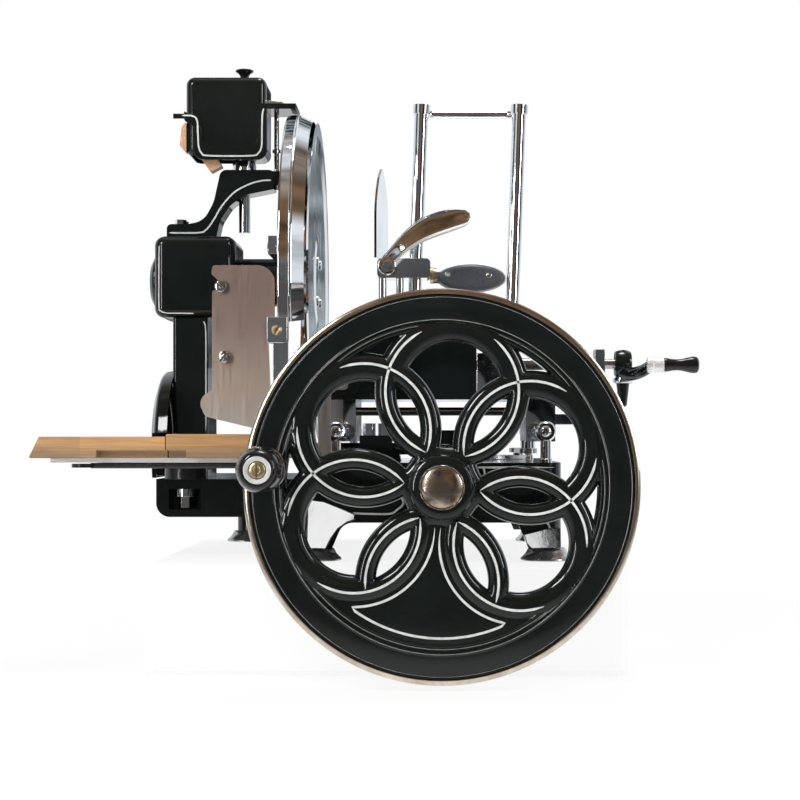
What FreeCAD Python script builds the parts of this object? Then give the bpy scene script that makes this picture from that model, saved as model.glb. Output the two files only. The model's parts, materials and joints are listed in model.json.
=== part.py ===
"""Hand crank meat slicer with a flywheel, as an assembly of separate pieces.

Frame: +Z up, the operator stands on the -Y side and looks along +Y at the flywheel, +X is to the
operator's right. The origin lies on the plane under the feet, where the vertical plane of the
flywheel shaft crosses the vertical plane of the blade shaft. All sizes are in millimetres.
"""
import FreeCAD, Part
import math
import os
import re

Vector = FreeCAD.Vector
document = FreeCAD.newDocument("HandCrankSlicer")
sheet = document.addObject("Spreadsheet::Sheet", "Sizes")

# ---------------------------------------------------------------------------------------------
# Sizes: (name, value, what it is). A value that starts with = is worked out from the other sizes.
# ---------------------------------------------------------------------------------------------
SIZES = [
    ("running_gap", 0.05, "radial clearance between a shaft and its bore"),
    ("seat_gap", 0.3, "gap between faces that slide or curve past each other"),
    ("overcut", 1.0, "how far a cutter reaches past the face it opens"),

    # base and feet
    ("foot_radius", 20.5, "rim of a bell-shaped foot"),
    ("foot_neck_radius", 14.0, "top of a foot"),
    ("foot_height", 9.6, "height of a foot"),
    ("foot_rim_height", 1.6, "upright rim at the bottom of a foot"),
    ("foot_front_left_x", -98.6, "front left foot"),
    ("foot_front_right_x", 81.5, "front right foot"),
    ("foot_front_y", -118.0, "both front feet"),
    ("foot_back_left_x", -177.0, "back left foot, under the column arm"),
    ("foot_back_right_x", 88.0, "back right foot"),
    ("foot_back_y", 152.0, "both back feet"),
    ("base_left", -110.0, "left face of the base casting"),
    ("base_right", 92.0, "right face"),
    ("base_front", -140.0, "front face"),
    ("base_back", 172.0, "back face"),
    ("base_top", 76.0, "top of the deck"),
    ("base_skirt", 30.0, "underside of the skirt between the legs"),
    ("base_wall", 6.0, "wall of the casting"),
    ("base_corner", 14.0, "radius of its upright corners"),
    ("leg_width", 25.0, "width of a leg at its foot"),
    ("leg_flare", 9.0, "how much a leg widens towards the skirt"),
    ("leg_depth", 44.0, "depth of a leg, front to back"),
    ("arch_left_corner", 12.0, "rounding of the skirt beside the left leg"),
    ("arch_right_corner", 5.0, "rounding of the skirt beside the right leg"),
    ("leg_pad_inset", 3.0, "how much thinner the pad over a foot is than its neck"),
    ("weld", 0.5, "overlap of pieces that are one casting"),
    ("arm_left", -229.0, "left end of the column arm"),
    ("arm_front", -75.0, "front of the column arm"),
    ("arm_top", 62.0, "top of the column arm"),
    ("arm_bottom", 31.6, "underside of the column arm"),
    ("arm_corner", 11.0, "rounding of the arm's lower left edge"),
    ("lug_pocket_depth", 19.0, "pocket in front of the arm for the board bolt"),
    ("lug_pocket_half_width", 13.0, "half width of that pocket"),
    ("lug_thickness", 8.0, "lug left above that pocket"),
    ("bearing_reach", 34.0, "front bearing, from the base to its tip"),
    ("bearing_tip_radius", 19.0, "tip of the front bearing"),
    ("bearing_body_radius", 26.0, "front bearing before its flange"),
    ("bearing_flange_radius", 30.0, "flange of the front bearing"),
    ("bearing_flange_thickness", 6.0, "thickness of that flange"),

    # flywheel
    ("wheel_axis_z", 60.4, "height of the flywheel shaft"),
    ("wheel_face_y", -255.0, "front face of the flat ring"),
    ("wheel_depth", 26.0, "depth of the rim"),
    ("wheel_radius", 140.5, "outside of the polished band"),
    ("band_thickness", 4.3, "polished band round the rim"),
    ("band_lip", 0.8, "how far the band stands past both faces of the rim"),
    ("face_ring_width", 19.2, "width of the flat ring"),
    ("step_width", 5.8, "width of the step inside the flat ring"),
    ("ring_inner_radius", "=wheel_radius - band_thickness - face_ring_width", "inside of the flat ring"),
    ("step_radius", "=ring_inner_radius - step_width", "inside of the stepped rim"),
    ("step_depth", 3.0, "how far the step and the web lie behind the ring"),
    ("web_thickness", 12.0, "thickness of the pierced web"),
    ("rosette_degrees", 24.0, "direction of the first rosette circle"),
    ("window_wall", 7.8, "rim left outside a window"),
    ("window_inset", 4.7, "how much smaller a window is than its circle"),
    ("petal_slot_half", 5.65, "half width of the slot in a petal"),
    ("petal_gap", 8.3, "gap between the ribs of two circles that stand either side of a third"),
    ("rosette_radius", "=(step_radius - window_wall + window_inset - petal_slot_half) * 2 / 3",
     "centres of the six rosette circles, one radius apart"),
    ("lens_radius", "=rosette_radius / 2 + petal_slot_half", "edge of the slot in a petal"),
    ("window_radius", "=lens_radius - window_inset", "edge of a window"),
    ("petal_radius", "=rosette_radius * sqrt(3) / 2 - petal_gap / 2",
     "outer edge of the ribs round a circle"),
    ("tip_gap_radius", 16.0, "small openings between the ribs and the rim"),
    ("window_corner", 3.0, "rounding of the window corners"),
    ("wheel_hub_radius", 23.3, "hub of the flywheel"),
    ("wheel_hub_front", 6.0, "how far the hub stands proud of the ring"),
    ("wheel_hub_back", 34.0, "how far the hub reaches behind the ring"),
    ("cap_radius", 16.5, "domed hub cap"),
    ("cap_height", 7.0, "height of the dome"),
    ("wheel_shaft_radius", 9.0, "flywheel shaft"),
    ("wheel_shaft_step", 40.0, "where the flywheel shaft becomes thinner"),
    ("wheel_tail_radius", 6.0, "back part of the flywheel shaft"),
    ("wheel_shaft_back", 140.0, "back end of the flywheel shaft"),

    # crank knob on the flywheel
    ("knob_inset", 11.2, "knob axis inside the rim"),
    ("knob_orbit", "=wheel_radius - band_thickness - knob_inset", "knob axis from the wheel axis"),
    ("knob_degrees", 174.0, "direction of the knob at rest"),
    ("knob_collar_radius", 15.4, "collar on the ring"),
    ("knob_collar_height", 7.0, "height of the collar"),
    ("knob_spindle_radius", 6.0, "spindle inside the knob"),
    ("knob_radius", 16.4, "largest radius of the knob"),
    ("knob_waist_radius", 11.5, "knob where it meets the collar"),
    ("knob_length", 58.0, "length of the knob"),
    ("knob_screw_radius", 5.6, "slotted end screw"),
    ("knob_screw_height", 2.0, "head of the end screw"),

    # helical gears, all cut at forty-five degrees
    ("gear_module", 1.5, "normal module"),
    ("gear_backlash", 0.5, "slack between teeth, along the pitch circle"),
    ("drive_teeth", 16, "large gear on the flywheel shaft"),
    ("cross_teeth", 8, "gear on the cross shaft"),
    ("pinion_teeth", 10, "small gear on the flywheel shaft"),
    ("crank_teeth", 20, "gear under the crank disc"),
    ("drive_gear_width", 20.0, "face width of the large gear"),
    ("cross_gear_width", 20.0, "face width of the cross gear"),
    ("pinion_width", 18.0, "face width of the pinion"),
    ("crank_gear_width", 12.0, "face width of the crank gear"),
    ("gear_cover_left", -14.5, "gear cover, left face"),
    ("gear_cover_right", 15.5, "gear cover, right face"),
    ("gear_cover_half_depth", 12.5, "gear cover, half depth"),
    ("gear_cover_wall", 1.6, "gear cover, thin walls"),
    ("gear_cover_flange", 22.0, "half width of its flange on the deck"),
    ("gear_cover_lip", 3.0, "how far the flange and the roof stand out from the gear's half depth"),
    ("gear_cover_flange_height", 4.5, "thickness of its flange"),
    ("gear_cover_bush_wall", 4.0, "wall that holds the cross shaft's bush"),
    ("gear_cover_thick_wall", 2.6, "wall opposite the bush"),
    ("gear_slot_half_width", 18.0, "slot in the deck over the drive gear"),
    ("pinion_recess_half", 16.0, "half width of the recess under the deck over the pinion"),
    ("pinion_recess_height", 3.2, "height of that recess"),
    ("web_half_width", 18.0, "web under the deck that carries the back of the flywheel shaft"),
    ("back_bush_length", 10.0, "bush and web at the back of the flywheel shaft"),
    ("crank_boss_wall", 4.0, "boss round the crank bush"),
    ("crank_boss_drop", 3.0, "how far that boss hangs below the deck"),

    # cross shaft, chain and column
    ("cross_z", "=wheel_axis_z + gear_module * (drive_teeth + cross_teeth) / (2 * cos(45 deg))",
     "height of the cross shaft, where gears cut at 45 degrees mesh"),
    ("crank_x", "=gear_module * (pinion_teeth + crank_teeth) / (2 * cos(45 deg))",
     "vertical crank shaft, where its gear meets the pinion"),
    ("cross_shaft_radius", 5.0, "cross shaft"),
    ("cross_bush_wall", 2.0, "wall of the bushes on the cross shaft"),
    ("cross_shaft_left", -230.0, "left end of the cross shaft"),
    ("cross_shaft_right", 15.3, "right end of the cross shaft"),
    ("chain_x", -207.5, "middle plane of the chain"),
    ("chain_pitch", 9.525, "pitch of the chain"),
    ("chain_teeth", 10, "teeth of both sprockets"),
    ("chain_plate_half", 3.8, "half height of a link plate"),
    ("chain_plate_thickness", 1.2, "link plate"),
    ("chain_inner_half", 2.3, "half width between the plates"),
    ("sprocket_thickness", 3.6, "toothed rim of a sprocket"),
    ("sprocket_hub_radius", 11.0, "hub of a sprocket"),
    ("sprocket_hub_width", 16.0, "length of that hub"),
    ("sprocket_root_depth", 2.6, "foot of a tooth inside the pitch circle"),
    ("sprocket_tip_rise", 2.4, "tip of a tooth outside the pitch circle"),
    ("chain_pin_radius", 2.4, "roller on a chain pin"),
    ("chain_pin_lap", 0.01, "how far a roller reaches into the link plates"),
    ("chain_pin_start", 13.0, "straight run left without rollers beside each sprocket's axis"),
    ("column_left", -222.0, "left face of the column"),
    ("column_right", -193.0, "right face of the column"),
    ("column_half_depth", 32.0, "half depth, front to back"),
    ("column_wall", 5.0, "wall of the column"),
    ("column_corner", 3.0, "rounding of its upright corners"),
    ("column_floor", 3.0, "solid foot of the column"),
    ("pedestal_left", -68.0, "shaft pedestal, left end of its bush"),
    ("pedestal_right", -40.0, "shaft pedestal, right end of its bush"),
    ("pedestal_half_depth", 14.0, "half depth of the shaft pedestal"),
    ("pedestal_flare", 8.0, "how far its foot spreads on the left"),
    ("ledge_height", 21.0, "bolted ledge in front of the pedestal"),
    ("ledge_depth", 18.0, "depth of that ledge"),
    ("round_cover_radius", 66.0, "domed cover at the foot of the column"),
    ("round_cover_depth", 16.0, "depth of that cover"),
    ("round_cover_notch", 99.0, "underside of that cover over the board"),
    ("cover_wall", 3.0, "wall of a cover"),

    # blade shaft housing
    ("blade_over_shaft", 1.844, "gap from the cross shaft to the cutting edge"),
    ("blade_axis_z", "=cross_z + cross_shaft_radius + blade_over_shaft + blade_radius",
     "height of the blade shaft"),
    ("housing_left", -237.0, "left face of the housing"),
    ("housing_right", -170.0, "right face"),
    ("housing_drop", 31.2, "underside below the blade shaft"),
    ("housing_rise", 36.1, "top above the blade shaft"),
    ("housing_bottom", "=blade_axis_z - housing_drop", "underside"),
    ("housing_top", "=blade_axis_z + housing_rise", "top"),
    ("housing_half_depth", 36.0, "half depth, front to back"),
    ("housing_corner", 8.0, "rounding of its edges"),
    ("housing_roof", 7.0, "roof over the chain"),
    ("nose_radius", 20.0, "bearing nose towards the blade"),
    ("nose_end", -127.5, "right end of the nose"),
    ("side_cap_radius", 22.0, "domed cap on the left face"),
    ("side_cap_depth", 7.0, "depth of that cap"),
    ("blade_shaft_radius", 8.0, "blade shaft"),
    ("blade_shaft_left", -232.0, "left end of the blade shaft"),
    ("bush_wall", 3.0, "wall of a bronze bush"),

    # blade and guard
    ("blade_radius", 132.5, "cutting edge"),
    ("blade_back", -106.0, "left face of the blade at its edge"),
    ("blade_thickness", 3.0, "blade"),
    ("blade_bevel", 11.0, "width of the ground bevel"),
    ("blade_dish", 2.2, "hollow in the middle of the blade"),
    ("flange_radius", 34.0, "flange behind the blade"),
    ("flange_thickness", 14.0, "depth of that flange"),
    ("blade_screw_orbit", 23.0, "four blade screws"),
    ("blade_screw_radius", 4.2, "head of a blade screw"),
    ("blade_screw_height", 1.6, "height of that head"),
    ("ring_clearance", 2.2, "gap from cutting edge to guard ring"),
    ("ring_wall", 4.3, "wall of the guard ring"),
    ("ring_left", -127.0, "left face of the guard ring"),
    ("ring_right", -103.6, "right face of the guard ring"),
    ("ring_lip", 22.0, "height of the lip behind the blade"),
    ("ring_lip_thickness", 3.0, "thickness of the lip"),
    ("ring_start_degrees", -17.0, "lower front end, from the horizontal"),
    ("ring_sweep_degrees", 232.0, "how far the ring goes round"),
    ("ring_block_height", 22.0, "block under the lower end of the ring"),
    ("ring_block_width", 16.0, "width of that block"),
    ("ring_tail_width", 12.0, "tail below that block"),
    ("ring_tail_thickness", 3.5, "thickness of the tail"),
    ("ring_tail_drop", 52.0, "lower end of the tail below the ring"),
    ("ring_arm_rise", 11.0, "underside of the bar that carries the guard ring, above the blade shaft"),
    ("ring_arm_height", 14.0, "bar that carries the guard ring"),
    ("ring_arm_thickness", 6.5, "thickness of that bar"),
    ("ring_arm_hub_radius", 28.0, "eye of that bar round the nose"),

    # swan neck arm and sharpener
    ("swan_half_depth", 13.0, "half depth of the swan neck"),
    ("swan_top", "=sharpener_bottom - collar_height", "top of the swan neck"),
    ("swan_foot_height", 12.0, "foot of the swan neck on the housing"),
    ("swan_pad_half", 6.0, "pad that holds the guide pin"),
    ("post_x", -166.0, "sharpener post"),
    ("post_radius", 4.75, "post below the collar"),
    ("post_reach", 51.5, "post below the top of the swan neck"),
    ("post_bottom", "=swan_top - post_reach", "lower end of the post"),
    ("post_socket", 29.0, "post inside the sharpener box"),
    ("post_collar_radius", 10.0, "collar under the sharpener"),
    ("collar_height", 9.5, "height of that collar"),
    ("sharpener_left", -212.0, "left face of the sharpener box"),
    ("sharpener_right", -145.5, "right face"),
    ("ear_height", 38.6, "right ear of the cradle above the underside"),
    ("sharpener_height", 66.0, "height of the box"),
    ("sharpener_bottom", "=flange_right_z - ear_height", "underside"),
    ("sharpener_top", "=sharpener_bottom + sharpener_height", "top"),
    ("sharpener_half_depth", 27.0, "half depth"),
    ("sharpener_corner", 7.0, "rounding"),
    ("sharpener_wall", 4.0, "wall of the box"),
    ("tray_thickness", 2.5, "cradle plate round the box"),
    ("tray_drop", 3.4, "underside of the cradle below the box"),
    ("tray_bottom", "=sharpener_bottom - tray_drop", "underside of the cradle"),
    ("flange_left_end", -222.0, "left ear of the cradle"),
    ("left_ear_rise", 34.0, "left ear above the underside of the cradle"),
    ("left_ear_thickness", 4.0, "left ear of the cradle"),
    ("right_ear_back", 13.0, "back edge of the right ear"),
    ("flange_right_end", -120.5, "right ear of the cradle"),
    ("ear_thickness", 4.5, "right ear of the cradle"),
    ("ear_clearance", 2.4, "gap from the guard ring to the right ear"),
    ("flange_right_z", "=blade_axis_z + blade_radius + ring_clearance + ring_wall + ear_clearance",
     "underside of the right ear"),
    ("plunger_radius", 8.0, "mushroom knob"),
    ("plunger_rise", 6.0, "underside of its cap above the box"),
    ("plunger_cap_z", "=sharpener_top + plunger_rise", "underside of its cap"),
    ("plunger_cap_height", 4.5, "height of its cap"),
    ("plunger_stem_radius", 4.0, "stem of the mushroom knob"),
    ("plunger_socket", 16.0, "stem inside the box"),
    ("plunger_hole_depth", 22.0, "hole for that stem"),
    ("stone_radius", 11.0, "grinding and deburring stones"),
    ("stone_thickness", 9.0, "thickness of a stone"),
    ("stone_spindle_radius", 3.0, "spindle of a stone"),
    ("stone_spindle_length", 44.0, "length of that spindle"),
    ("stone_spindle_lead", 3.0, "how far it stands out of the box"),
    ("stone_spread", 11.5, "stones from the middle of the box"),
    ("stone_height", 22.0, "spindles above the underside of the box"),
    ("guide_pin_x", -139.0, "guide pin beside the box"),
    ("guide_pin_radius", 2.1, "guide pin"),
    ("pin_ring_wall", 1.4, "ring on the guide pin"),
    ("pin_ring_height", 3.0, "height of that ring"),
    ("guide_pin_reach", 15.5, "guide pin below the top of the swan neck"),
    ("guide_pin_bottom", "=swan_top - guide_pin_reach", "lower end of the guide pin"),

    # slice deflector
    ("deflector_y", -101.5, "front face of the deflector"),
    ("deflector_thickness", 1.5, "sheet of the deflector"),
    ("stud_radius", 3.2, "studs that carry the deflector"),
    ("stud_head_wall", 1.7, "how much wider the head and the shoulder of a stud are"),
    ("stud_head_height", 3.2, "head of a stud"),
    ("stud_strap_thickness", 6.0, "strap that carries the lower stud"),
    ("stud_x", -174.0, "upper stud"),
    ("stud_low_x", -171.0, "lower stud"),
    ("stud_top_drop", 11.2, "upper stud below the blade shaft"),
    ("stud_low_drop", 66.5, "lower stud below the blade shaft"),
    ("stud_top_z", "=blade_axis_z - stud_top_drop", "upper stud"),
    ("stud_low_z", "=blade_axis_z - stud_low_drop", "lower stud"),
    ("deflector_clearance", 3.8, "gap from the board to the deflector"),
    ("deflector_rise", 5.8, "top of the deflector above the blade shaft"),

    # receiving board
    ("board_front", -128.0, "front edge of the board"),
    ("board_back", -45.0, "back edge of the board"),
    ("board_bottom", 79.3, "underside of the board"),
    ("board_top", 98.0, "top of the fixed board"),
    ("board_right", -112.0, "right end of the board"),
    ("board_joint", -214.0, "joint between board and leaf"),
    ("leaf_left", -320.0, "left end of the leaf"),
    ("leaf_top", 96.0, "top of the leaf"),
    ("leaf_slant", 8.0, "slant of its left end"),
    ("recess_left", -267.0, "finger recess, left end"),
    ("recess_right", -198.0, "finger recess, right end"),
    ("recess_height", 6.0, "height of the finger recess"),
    ("recess_depth", 16.0, "depth of the finger recess"),
    ("strip_thickness", 3.6, "steel strips under the board"),
    ("strip_width", 16.0, "width of a strip"),
    ("strip_left", -306.0, "left end of the strips"),
    ("strip_right", -152.0, "right end of the strips"),
    ("rail_radius", 2.2, "support rails of the board"),
    ("rail_left", -276.0, "left end of the rails"),
    ("rail_right", -150.0, "right end of the rails"),
    ("rail_spacing", 34.0, "distance between the two rails"),
    ("rail_plate_half", 1.5, "half thickness of the plate, the tie and the eye of the rails"),
    ("rail_plate_reach", 9.0, "half width of the plate over the pivot"),
    ("rail_eye_radius", 9.0, "eye at the left end"),
    ("rail_eye_wall", 4.0, "wall of that eye"),
    ("rail_eye_lap", 3.0, "how far the rail reaches into the eye"),
    ("pivot_x", -206.0, "board pivot"),
    ("pivot_y", -68.0, "board pivot"),
    ("pivot_disc_radius", 17.0, "disc of the pivot"),
    ("pivot_washer_radius", 9.0, "washers of the pivot"),
    ("pivot_washer_height", 6.0, "height of the washers"),
    ("pivot_bolt_radius", 6.4, "hexagon of the pivot bolt"),
    ("pivot_head_height", 9.0, "height of the hexagon"),
    ("pivot_shank_radius", 3.2, "shank of the pivot bolt"),

    # carriage
    ("guide_radius", 6.0, "guide rods of the carriage"),
    ("guide_left_x", -82.0, "left guide rod"),
    ("guide_right_x", 80.0, "right guide rod"),
    ("guide_z", 100.0, "height of the guide rods"),
    ("pillar_width", 16.0, "pillars of the guide rods"),
    ("pillar_depth", 10.0, "depth of a pillar"),
    ("pillar_wall", 4.0, "pillar left above its guide rod"),
    ("pillar_front", -137.0, "front face of the front pillars"),
    ("pillar_back", 171.0, "back face of the back pillars"),
    ("shoe_width", 24.0, "carriage shoes"),
    ("shoe_half_length", 55.0, "half length of a shoe"),
    ("shoe_bottom", 92.0, "underside of the shoes"),
    ("cross_rod_radius", 3.0, "rods that join the shoes"),
    ("cross_rod_z", 117.0, "height of those rods"),
    ("cross_rod_y", 40.0, "rods from the middle of the carriage"),
    ("table_left", -97.0, "left edge of the meat table"),
    ("table_right", 28.0, "right edge of the table box"),
    ("table_half_depth", 60.0, "half depth of the table"),
    ("table_bottom", 126.0, "underside of the table"),
    ("table_top", 176.0, "top of the table casting"),
    ("table_deck", 5.0, "thickness of its lower deck"),
    ("table_wall", 5.0, "wall of the table"),
    ("top_plate_thickness", 3.0, "stainless top plate"),
    ("slot_half_width", 6.5, "slot of the feed nut"),
    ("slot_left", -56.0, "left end of that slot"),
    ("side_panel_right", 47.0, "right edge of the side panel"),
    ("side_panel_top", 164.0, "top of the side panel"),
    ("side_panel_thickness", 3.0, "side panel"),
    ("bracket_left", 128.0, "screw bracket, left face"),
    ("bracket_thickness", 8.0, "screw bracket"),
    ("bracket_half_depth", 13.0, "half depth of the screw bracket"),
    ("bracket_top", 169.0, "top of the screw bracket"),
    ("bracket_arm_bottom", 106.0, "underside of its arm"),
    ("bracket_arm_height", 9.0, "height of its arm"),

    # crank disc and connecting rod
    ("crank_axis_y", 100.0, "vertical crank shaft"),
    ("crank_shaft_radius", 6.0, "vertical crank shaft"),
    ("crank_shaft_bottom", 36.0, "lower end of that shaft"),
    ("crank_throw", 36.0, "crank pin from the shaft"),
    ("crank_disc_radius", 43.0, "crank disc"),
    ("crank_disc_lift", 0.5, "gap between deck and disc"),
    ("crank_disc_thickness", 3.0, "crank disc"),
    ("crank_pin_radius", 4.5, "crank pin"),
    ("crank_pin_height", 2.2, "crank pin above the disc"),
    ("rod_thickness", 4.0, "connecting rod"),
    ("rod_half_width", 4.5, "half width of the connecting rod"),
    ("rod_eye_radius", 8.0, "eyes of the connecting rod"),
    ("wrist_x", 72.0, "wrist pin under the right shoe"),
    ("wrist_y", 0.0, "wrist pin"),
    ("wrist_radius", 3.5, "wrist pin"),

    # feed slide, posts and screw
    ("feed_left", -58.0, "left end of the feed beam"),
    ("feed_right", 75.0, "right end of the feed beam"),
    ("feed_front", 45.0, "front of the feed beam"),
    ("feed_back", 80.0, "back of the feed beam"),
    ("feed_thickness", 10.0, "thickness of the feed beam"),
    ("nut_left", -10.0, "left face of the nut arm"),
    ("nut_right", 14.0, "right face of the nut arm"),
    ("nut_half_width", 6.0, "half width of the nut stem"),
    ("nut_bottom", 149.0, "underside of the nut"),
    ("screw_z", 157.0, "height of the feed screw"),
    ("screw_radius", 5.0, "feed screw"),
    ("screw_left", -96.0, "left end of the feed screw"),
    ("post_spacing", 85.4, "distance between the posts"),
    ("post_left_x", -24.9, "left post where it leaves the beam"),
    ("post_y", 60.0, "both posts"),
    ("tall_post_radius", 6.0, "posts"),
    ("post_lean", 2.1, "lean of the posts to the right, degrees"),
    ("post_length", 196.0, "length of the posts above the beam"),
    ("post_collar_height", 8.0, "collars at the top of the posts"),
    ("post_collar_wall", 1.6, "wall of those collars"),
    ("bar_radius", 3.2, "top bar"),
    ("bar_bow", 26.0, "how far the top bar bows to the back"),
    ("bar_bend", 12.0, "bend radius of the top bar"),

    # clamp
    ("clamp_left", -56.0, "clamp body, left face"),
    ("clamp_right", -10.0, "clamp body, right face"),
    ("clamp_bottom", 233.0, "clamp body, underside"),
    ("clamp_top", 250.0, "clamp body, top"),
    ("clamp_front", 42.0, "clamp body, front"),
    ("clamp_back", 74.0, "clamp body, back"),
    ("clamp_corner", 4.0, "rounding of the clamp body"),
    ("leaf_half_width", 20.0, "holding plate"),
    ("leaf_height", 79.0, "holding plate above the clamp body"),
    ("leaf_sheet", 2.0, "holding plate"),
    ("leaf_turn", 13.0, "turn of the holding plate, degrees"),
    ("prong_radius", 3.4, "prongs under the clamp"),
    ("prong_inset", 4.5, "prongs from the edges of the clamp body"),
    ("prong_spacing", 15.0, "distance between the front prongs"),
    ("prong_bottom", 193.0, "points of the prongs"),
    ("lever_pivot_x", -47.0, "pivot of the spoon lever"),
    ("lever_pivot_z", 242.0, "pivot of the spoon lever"),
    ("lever_pin_radius", 3.0, "pivot pin of the lever"),
    ("lever_pin_lead", 2.0, "pivot pin in front of the lever"),
    ("lever_front", 22.0, "front of the lever"),
    ("tang_front", 52.0, "tang of the handle"),
    ("tang_back", 56.0, "tang of the handle"),
    ("scale_depth", 7.0, "thickness of one grip scale"),
    ("scale_left", -3.5, "left end of the grip"),
    ("scale_right", 54.5, "right end of the grip"),
    ("scale_z", 233.6, "middle of the grip"),
    ("scale_half_height", 11.6, "half height of the grip"),
    ("scale_corner", 4.5, "rounding of the grip scales"),

    # feed crank
    ("crank_neck_radius", 4.2, "shaft between bracket and hub"),
    ("crank_hub_left", 145.0, "hub of the feed crank"),
    ("crank_hub_right", 159.0, "hub of the feed crank"),
    ("crank_hub_radius", 12.0, "hub of the feed crank"),
    ("crank_arm_y", -45.0, "grip axis from the screw axis"),
    ("crank_arm_width", 10.0, "arm of the feed crank"),
    ("crank_tail_length", 24.0, "tail below the hub"),
    ("crank_tail_width", 8.0, "thickness of the tail"),
    ("crank_grip_z", 154.6, "height of the grip axis"),
    ("ferrule_left", 168.0, "ferrule of the grip"),
    ("ferrule_radius", 5.8, "ferrule of the grip"),
    ("grip_left", 181.3, "grip, inner end"),
    ("grip_right", 210.0, "grip, outer end"),
    ("grip_radius", 6.9, "largest radius of the grip"),
    ("grip_waist", 4.9, "waist of the grip"),
    ("grip_pin_radius", 2.5, "pin inside the grip"),

    # front blade guard
    ("front_guard_y", -142.0, "front face of the finger guard"),
    ("front_guard_corner", 26.0, "upper left corner of the finger guard"),
    ("front_guard_strap_foot", 22.0, "strap below the top of the base"),
    ("front_guard_left", -117.0, "left end of the finger guard"),
    ("front_guard_right", -72.0, "right end of the finger guard"),
    ("front_guard_top", 172.0, "top of the finger guard"),
    ("front_guard_bottom", 132.0, "underside of the finger guard"),
    ("front_guard_sheet", 2.0, "sheet of the finger guard"),
    ("front_guard_strap_left", -95.0, "strap of the finger guard"),
    ("front_guard_strap_width", 10.0, "strap of the finger guard"),

    # screws and nuts of the frame
    ("screw_head_radius", 5.0, "hexagon heads on the frame"),
    ("screw_head_height", 4.0, "height of those heads"),
    ("nut_radius", 5.4, "nuts on the pedestal"),
    ("nut_height", 10.0, "height of those nuts"),
    ("nut_spread", 6.25, "nuts from the middle of the pedestal"),
    ("arm_screw_spread", 92.0, "front screw on the arm, from the back foot"),
    ("bar_screw_radius", 3.6, "screw heads on the bar of the guard ring"),
    ("bar_screw_height", 2.0, "height of those heads"),
    ("bar_screw_pitch", 60.0, "distance between those screws"),
]
for row, (alias, value, note) in enumerate(SIZES, start=1):
    sheet.set(f"A{row}", note)
    sheet.setAlias(f"B{row}", alias)
for row, (alias, value, note) in enumerate(SIZES, start=1):
    sheet.set(f"B{row}", str(value))
document.recompute()
ALIASES = {alias for alias, value, note in SIZES}


def size(alias):
    """The number in one cell of the sheet."""
    return float(sheet.get(alias))


# Places that several pieces share, as expressions over the sheet.
DISC_BOTTOM = "(base_top + crank_disc_lift)"
DISC_TOP = f"({DISC_BOTTOM} + crank_disc_thickness)"
PIN_TOP = f"({DISC_TOP} + crank_pin_height)"
ROD_BOTTOM = f"({PIN_TOP} + seat_gap)"
ROD_TOP = f"({ROD_BOTTOM} + rod_thickness)"
PLATE_TOP = "(table_top + top_plate_thickness)"
BEAM_BOTTOM = f"({PLATE_TOP} + seat_gap)"
BEAM_TOP = f"({BEAM_BOTTOM} + feed_thickness)"
RING_INSIDE = "(blade_radius + ring_clearance)"
RING_OUTSIDE = f"({RING_INSIDE} + ring_wall)"
KNOB_X = "(knob_orbit * cos(knob_degrees * 1 deg))"
KNOB_Z = "(wheel_axis_z + knob_orbit * sin(knob_degrees * 1 deg))"
STRIP_BOTTOM = "(board_bottom - strip_thickness)"
RAIL_Z = f"({STRIP_BOTTOM} - seat_gap - rail_radius)"
BEARING_FRONT = "(base_front - bearing_reach)"
WEB_FRONT = "(wheel_shaft_back - back_bush_length - seat_gap)"
CRANK_BOSS_BOTTOM = "(base_top - base_wall - crank_boss_drop)"

AXIS_TURNS = {
    "X": FreeCAD.Rotation(Vector(0, 1, 0), 90),
    "Y": FreeCAD.Rotation(Vector(1, 0, 0), -90),
    "Z": FreeCAD.Rotation(),
}
NODES = []


# ---------------------------------------------------------------------------------------------
# Helpers
# ---------------------------------------------------------------------------------------------
def bind(thing, name, expression):
    """Bind one property of an object to an expression over the sheet's names."""
    text = re.sub(r"[A-Za-z_]\w*", lambda word: f"Sizes.{word[0]}" if word[0] in ALIASES else word[0],
                  str(expression))
    thing.setExpression(name, text)


def place(thing, x, y, z, turn=None):
    """Put an object at a bound place, turned by a fixed rotation."""
    thing.Placement = FreeCAD.Placement(Vector(0, 0, 0), turn or FreeCAD.Rotation())
    bind(thing, "Placement.Base.x", x)
    bind(thing, "Placement.Base.y", y)
    bind(thing, "Placement.Base.z", z)
    return thing


def box(name, x, y, z):
    """A block between two bounds along each axis; each bound is an expression."""
    block = document.addObject("Part::Box", name)
    bind(block, "Length", f"({x[1]}) - ({x[0]})")
    bind(block, "Width", f"({y[1]}) - ({y[0]})")
    bind(block, "Height", f"({z[1]}) - ({z[0]})")
    return place(block, x[0], y[0], z[0])


def rod(name, axis, radius, start, length):
    """A round bar from a start point along an axis."""
    bar = document.addObject("Part::Cylinder", name)
    bind(bar, "Radius", radius)
    bind(bar, "Height", length)
    return place(bar, *start, AXIS_TURNS[axis])


def hexagon(name, axis, radius, start, length):
    """A hexagonal head or nut."""
    head = document.addObject("Part::Prism", name)
    head.Polygon = 6
    bind(head, "Circumradius", radius)
    bind(head, "Height", length)
    return place(head, *start, AXIS_TURNS[axis])


def cut(name, base, *tools):
    """The base with each tool taken away."""
    result = base
    for number, tool in enumerate(tools):
        step = document.addObject("Part::Cut", f"{name}_cut{number}")
        step.Base = result
        step.Tool = tool
        result = step
    return result


def fuse(name, *pieces):
    """Several overlapping solids as one."""
    whole = document.addObject("Part::MultiFuse", name)
    whole.Shapes = list(pieces)
    whole.Refine = True
    return whole


def group(name, *pieces):
    """Separate solids that share one node."""
    whole = document.addObject("Part::Compound", name)
    whole.Links = list(pieces)
    return whole


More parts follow.
